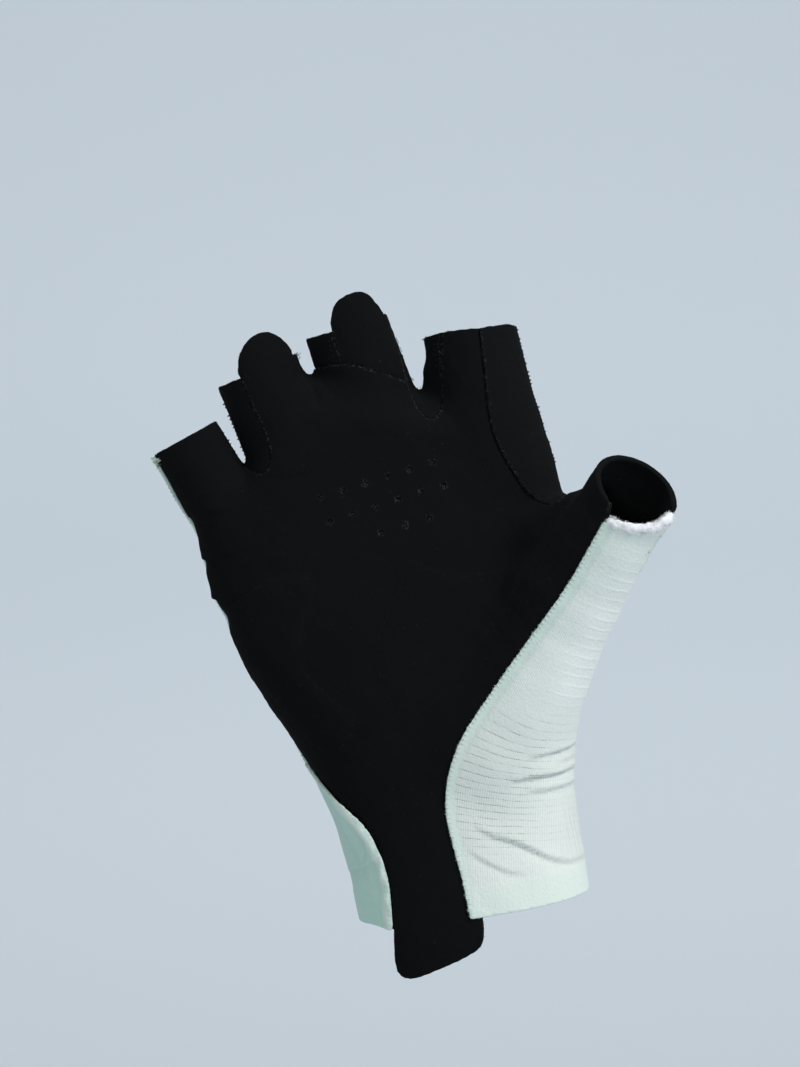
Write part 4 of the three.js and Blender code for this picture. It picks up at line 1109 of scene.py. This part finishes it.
def tube(path, radius, sides):
    """Points and quads of a thin round thread along a path, narrower at both ends."""
    path = np.array(path, float)
    axis = unit(np.gradient(path, axis=0))
    helper = np.where(np.abs(axis[:, [2]]) < 0.9, [[0, 0, 1.0]], [[1.0, 0, 0]])
    side = unit(np.cross(axis, helper))
    radii = np.full(len(path), radius)
    radii[[0, -1]] *= 0.4
    return pipe(path, side, np.cross(axis, side), radii, sides)[:2]


def bent(root, reach, bend, early=0.4):
    """Halfway and the tip of a fibre that has an early share of its bend halfway."""
    return [root + reach * 0.5 + bend * early, root + reach + bend]


def join(parts):
    """One set of points and faces from several."""
    points, faces, offset = [], [], 0
    for p, f in parts:
        points.append(p)
        faces.append(f + offset)
        offset += len(p)
    return np.concatenate(points), np.concatenate(faces)


def add_threads(name, threads, look):
    points, faces = join(threads)
    add_piece(name, points, faces, look)


def walk(points, pitch):
    """Places at an even pitch along a line, each with its direction."""
    lengths = np.linalg.norm(np.diff(points, axis=0), axis=1)
    total = np.concatenate([[0], np.cumsum(lengths)])
    at = np.arange(pitch / 2, total[-1], pitch)

    def places(at):
        return np.stack([np.interp(at, total, points[:, i]) for i in range(3)], 1)

    return places(at), unit(places(at + 0.6) - places(at - 0.6))


def along_edges(name, pitch, lift):
    """Places along a panel's edges: each with its normal, its direction and the nearest point."""
    panel, top = cloths[name]
    for loop in panel.loops():
        ids = np.array(loop)
        if len(ids) < SHORTEST_EDGE:
            continue
        normals = normal_at(panel.points[ids])
        line = panel.points[ids] + normals * (top[ids] + lift)[:, None]
        place, along = walk(line, pitch)
        near = np.linalg.norm(place[:, None] - line[None], axis=2).argmin(1)
        yield from zip(place, normals[near], along, ids[near])


def from_open_rims(name):
    """Distance of a panel's points to its open rims."""
    values = cloths[name][0].values
    return np.min([np.abs(values[edge]) for edge in PANELS[name]["rims"]], 0)


def seam_stitches(name, pitch, length, radius, inset, lift, slant):
    """Short stitches across the sewn edges of a panel, not along its open rims."""
    rim_gap = from_open_rims(name)
    parts = []
    for p, n, t, index in along_edges(name, pitch, lift):
        if rim_gap[index] < RIM_GAP:
            continue
        inwards = unit(np.cross(n, t))
        middle = p + inwards * inset
        reach = (inwards + t * slant) * length / 2
        jitter = RNG.normal(0, 0.05, 3)
        path = [middle - reach, middle + n * radius * 0.8 + jitter, middle + reach]
        parts.append(tube(path, radius, 5))
    return parts


def edge_fuzz(name, pitch, length, lift, wanted):
    """Short loose fibres that stand out from the cut edges of a panel."""
    parts = []
    for p, n, t, index in along_edges(name, pitch, lift):
        if not wanted[index]:
            continue
        out = unit(-np.cross(n, t) + RNG.normal(0, 0.45, 3) + n * 0.2)
        reach = length * RNG.uniform(0.4, 1.0)
        bend = RNG.normal(0, 0.2, 3) * reach
        root = p + RNG.normal(0, 0.05, 3) - out * 0.2
        parts.append(tube([root, *bent(root, out * reach, bend)], FUZZ_RADIUS, 3))
    return parts


def outline_nubs(name, lowest, middle, lean, way):
    """Ends of the seam loops that show along the outline of a stall, on one side of a gap."""
    panel = cloths[name][0]
    line = panel.crossings(facing(panel.points))
    aside = (seen(line)[:, 0] - middle - lean * (line[:, 2] - NUB_HEIGHT)) * way
    line = line[(line[:, 2] > lowest) & (aside > 0)]
    place, _ = walk(line[np.argsort(line[:, 2])], NUB_PITCH)
    parts = []
    for p, n in zip(place, normal_at(place)):
        root = p + n * PANELS[name]["top"] + RNG.normal(0, 0.1, 3)
        tip = root + n * RNG.uniform(0.1, 0.3)
        parts.append(tube([root - n * 0.4, root, tip], NUB_RADIUS, 6))
    return parts


def build_threads():
    """Stitches along the seams and fibres along the edges."""
    knit = cloths["knit_upper"][0]
    near_seam = (facing(knit.points) > -0.2) & (np.abs(knit.values["seam"]) < 0.5)
    mint = seam_stitches("knit_upper", 1.2, 0.9, 0.13, inset=0.35, lift=0.03, slant=0.3)
    mint += edge_fuzz("knit_upper", 0.085, 0.55, -0.1, near_seam)
    add_threads("selvedge_threads", mint, "mint_thread")
    black = []
    for gap in GAPS:
        black += seam_stitches(f"gusset_{gap}", 1.3, 0.7, 0.08, inset=LAP + 0.1, lift=0.1, slant=0.8)
    black += seam_stitches("index_side_panel", 1.3, 0.7, 0.08, inset=0.5, lift=0.02, slant=0.8)
    for name in PANELS:
        if name != "knit_upper":
            outline = np.abs(facing(cloths[name][0].points)) < 0.3
            black += edge_fuzz(name, 0.2, 0.6, -0.4, (from_open_rims(name) < 0.5) | outline)
    for row in NUBBED:
        black += outline_nubs(*row)
    add_threads("seam_threads", black, "thread")


build_threads()


# Fluffy hem of the thumb opening


def hem_path():
    """Points round the thumb opening on the knitted side."""
    middle, plane_normal = hem_plane()
    centre = THUMB_MOUTH - plane_normal * ((THUMB_MOUTH - middle) @ plane_normal)
    right = unit(np.array([1.0, 0, 0]) - plane_normal * plane_normal[0])
    down = np.cross(right, plane_normal)
    angle = np.linspace(0, 2 * math.pi, 720, endpoint=False)
    ray = np.outer(np.cos(angle), right) + np.outer(np.sin(angle), down)
    nearest, farthest = (np.full(len(angle), reach) for reach in (2.0, 24.0))
    out = last_inside(centre, ray, nearest, farthest, 26)
    ring = centre + ray * (out - KNIT / 2)[:, None]
    ring_cloth = Cloth(ring, np.zeros((0, 3), int), {})
    black = -measure(ring_cloth)[0]["knit_upper"]
    knitted = (black > 0) & (ring[:, 1] < centre[1] + HEM_BACK) & (seen(ring) < HEM_ENDS).all(1)
    start = np.flatnonzero(knitted & ~np.roll(knitted, 1))[0]
    order = (start + np.arange(len(angle))) % len(angle)
    run = order[:np.argmin(knitted[order])] if not knitted.all() else order
    pick = np.linspace(0, len(run) - 1, HEM_STATIONS).round().astype(int)
    return ring[run][pick]


def build_hem():
    """The roll of the hem, and the pile that stands out from it."""
    path = hem_path()
    axis = unit(np.gradient(path, axis=0))
    side = unit(np.cross(axis, THUMB_MOUTH_NORMAL))
    up = np.cross(axis, side)
    ends = np.minimum(np.arange(len(path)), np.arange(len(path))[::-1])
    radius = HEM_RADIUS * np.sqrt(np.clip(1 - (1 - ends / 3.0).clip(0) ** 2, 0.05, 1))
    points, quads, out = pipe(path, side, up, radius, HEM_SIDES)
    lumps = 0.5 * ripple(points, 5.5) + 0.3 * ripple(points, 2.3)
    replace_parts(add_piece("thumb_hem_roll", points + out * lumps[:, None], quads, "pile"), "thumb_hem")
    pile = []
    for _ in range(HEM_FIBRES):
        at = RNG.integers(1, len(path) - 1)
        turn = RNG.uniform(0, 2 * math.pi)
        out = side[at] * math.cos(turn) + up[at] * math.sin(turn)
        root = path[at] + axis[at] * RNG.uniform(-0.2, 0.2) + out * radius[at] * 0.9
        lean = unit(out + RNG.normal(0, 0.6, 3))
        reach = lean * RNG.uniform(0.25, 0.75)
        bend = RNG.normal(0, 0.16, 3)
        pile.append(tube([root, *bent(root, reach, bend, 0.5)], PILE_RADIUS, 3))
    add_threads("thumb_hem_pile", pile, "pile")


build_hem()


# Frayed threads at the corners of the openings: place, way out, look, count, length
FRAYS = [
    ((-78.6, 111.2), (-1, -0.1), "mint_thread", 18, 2.2),
    ((-78.4, 110.4), (-1, -0.4), "thread", 12, 1.7),
    ((-44.4, 137.2), (1, 0.4), "thread", 22, 0.8),
    ((-21.9, 146.4), (1, 0.5), "thread", 18, 0.7),
    ((-15.9, 131.2), (1, 0.5), "thread", 16, 0.7),
    ((-56.6, 131.6), (-0.8, 1), "thread", 14, 1.0),
    ((-61.0, 129.4), (-0.6, 1), "thread", 10, 0.9),
    ((9.6, 142.6), (1, 0.4), "thread", 12, 0.9),
    ((-12.2, 141.0), (-1, 0.5), "thread", 12, 0.7),
    ((-13.6, 128.2), (-0.3, 1), "thread", 14, 1.0),
    ((43.2, 88.2), (0.7, 0.5), "thread", 12, 0.9),
    ((45.6, 92.0), (1, 0.3), "thread", 8, 0.8),
]


def build_frays():
    parts = {"thread": [], "mint_thread": []}
    for spot, way, look, count, length in FRAYS:
        root = from_plane([spot])[0]
        out = np.array([way[0], -0.3, way[1]])
        for _ in range(count):
            start = root + RNG.normal(0, 0.35, 3)
            lean = unit(out + RNG.normal(0, 0.5, 3))
            reach = length * RNG.uniform(0.4, 1.0)
            bend = RNG.normal(0, 0.25, 3) * reach
            path = [start - lean * 0.5, *bent(start, lean * reach, bend)]
            parts[look].append(tube(path, FRAY_RADIUS, 4))
    for look, threads in parts.items():
        add_threads(f"frayed_{look}", threads, look)


build_frays()


# Stage


def build_stage():
    look = Look("pale_studio", 1.0, specular=0.0)
    # Painted light: the backdrop is lighter near the glove's height and darker far above and below it,
    # where the light falls off.
    up = look.node("ShaderNodeSeparateXYZ", [0], [look.place()]).outputs["Z"]
    away = look.math("ABSOLUTE", look.math("SUBTRACT", up, 0.07))
    colour = look.mix(look.step(away, 0.08, 0.5), srgb(210, 219, 226), srgb(197, 206, 214))
    material = look.finish(colour)
    floor_z, wall_y, bend, half_width, top = -420.0, 1400.0, 500.0, 2600.0, 2400.0
    turn = np.linspace(0, math.pi / 2, 16)
    profile = [(-half_width, floor_z)]
    profile += [(wall_y - bend + bend * math.sin(a), floor_z + bend - bend * math.cos(a)) for a in turn]
    profile.append((wall_y, top))
    rows = [(x, y, z) for y, z in profile for x in (-half_width, half_width)]
    i = np.arange(len(profile) - 1) * 2
    quads = np.stack([i, i + 1, i + 3, i + 2], 1)
    backdrop = make_object("backdrop", np.array(rows), quads, material)


def area_light(name, place, aim, size, watts):
    data = bpy.data.lights.new(name, "AREA")
    data.shape = "DISK"
    data.size = size
    data.energy = watts
    light = add_object(name, data)
    light.location = place
    light.rotation_euler = (Vector(aim) - Vector(place)).to_track_quat("-Z", "Y").to_euler()


def build_lights():
    middle = (-0.015, 0, 0.07)
    area_light("key", (1.05, -1.0, 1.15), middle, 0.7, 21.0)
    area_light("fill", (-0.6, -1.4, 0.3), middle, 1.4, 2.0)
    area_light("backdrop_wash", (-0.3, 0.35, 1.9), (-0.1, 1.4, 0.2), 1.2, 14.0)
    world = bpy.data.worlds.new("pale_room")
    world.use_nodes = True
    background = world.node_tree.nodes["Background"]
    background.inputs["Color"].default_value = (0.975, 0.992, 1.0, 1)
    background.inputs["Strength"].default_value = 0.45
    bpy.context.scene.world = world
    bpy.context.scene.view_settings.view_transform = "Standard"


def build_camera():
    data = bpy.data.cameras.new("photo_camera")
    data.sensor_fit = "VERTICAL"
    data.sensor_height = SENSOR
    data.lens = LENS
    camera = add_object("photo_camera", data)
    camera.location = CAMERA * MM
    camera.rotation_euler = (math.pi / 2, 0, 0)
    bpy.context.scene.camera = camera


build_stage()
build_lights()
build_camera()

bpy.context.view_layer.update()
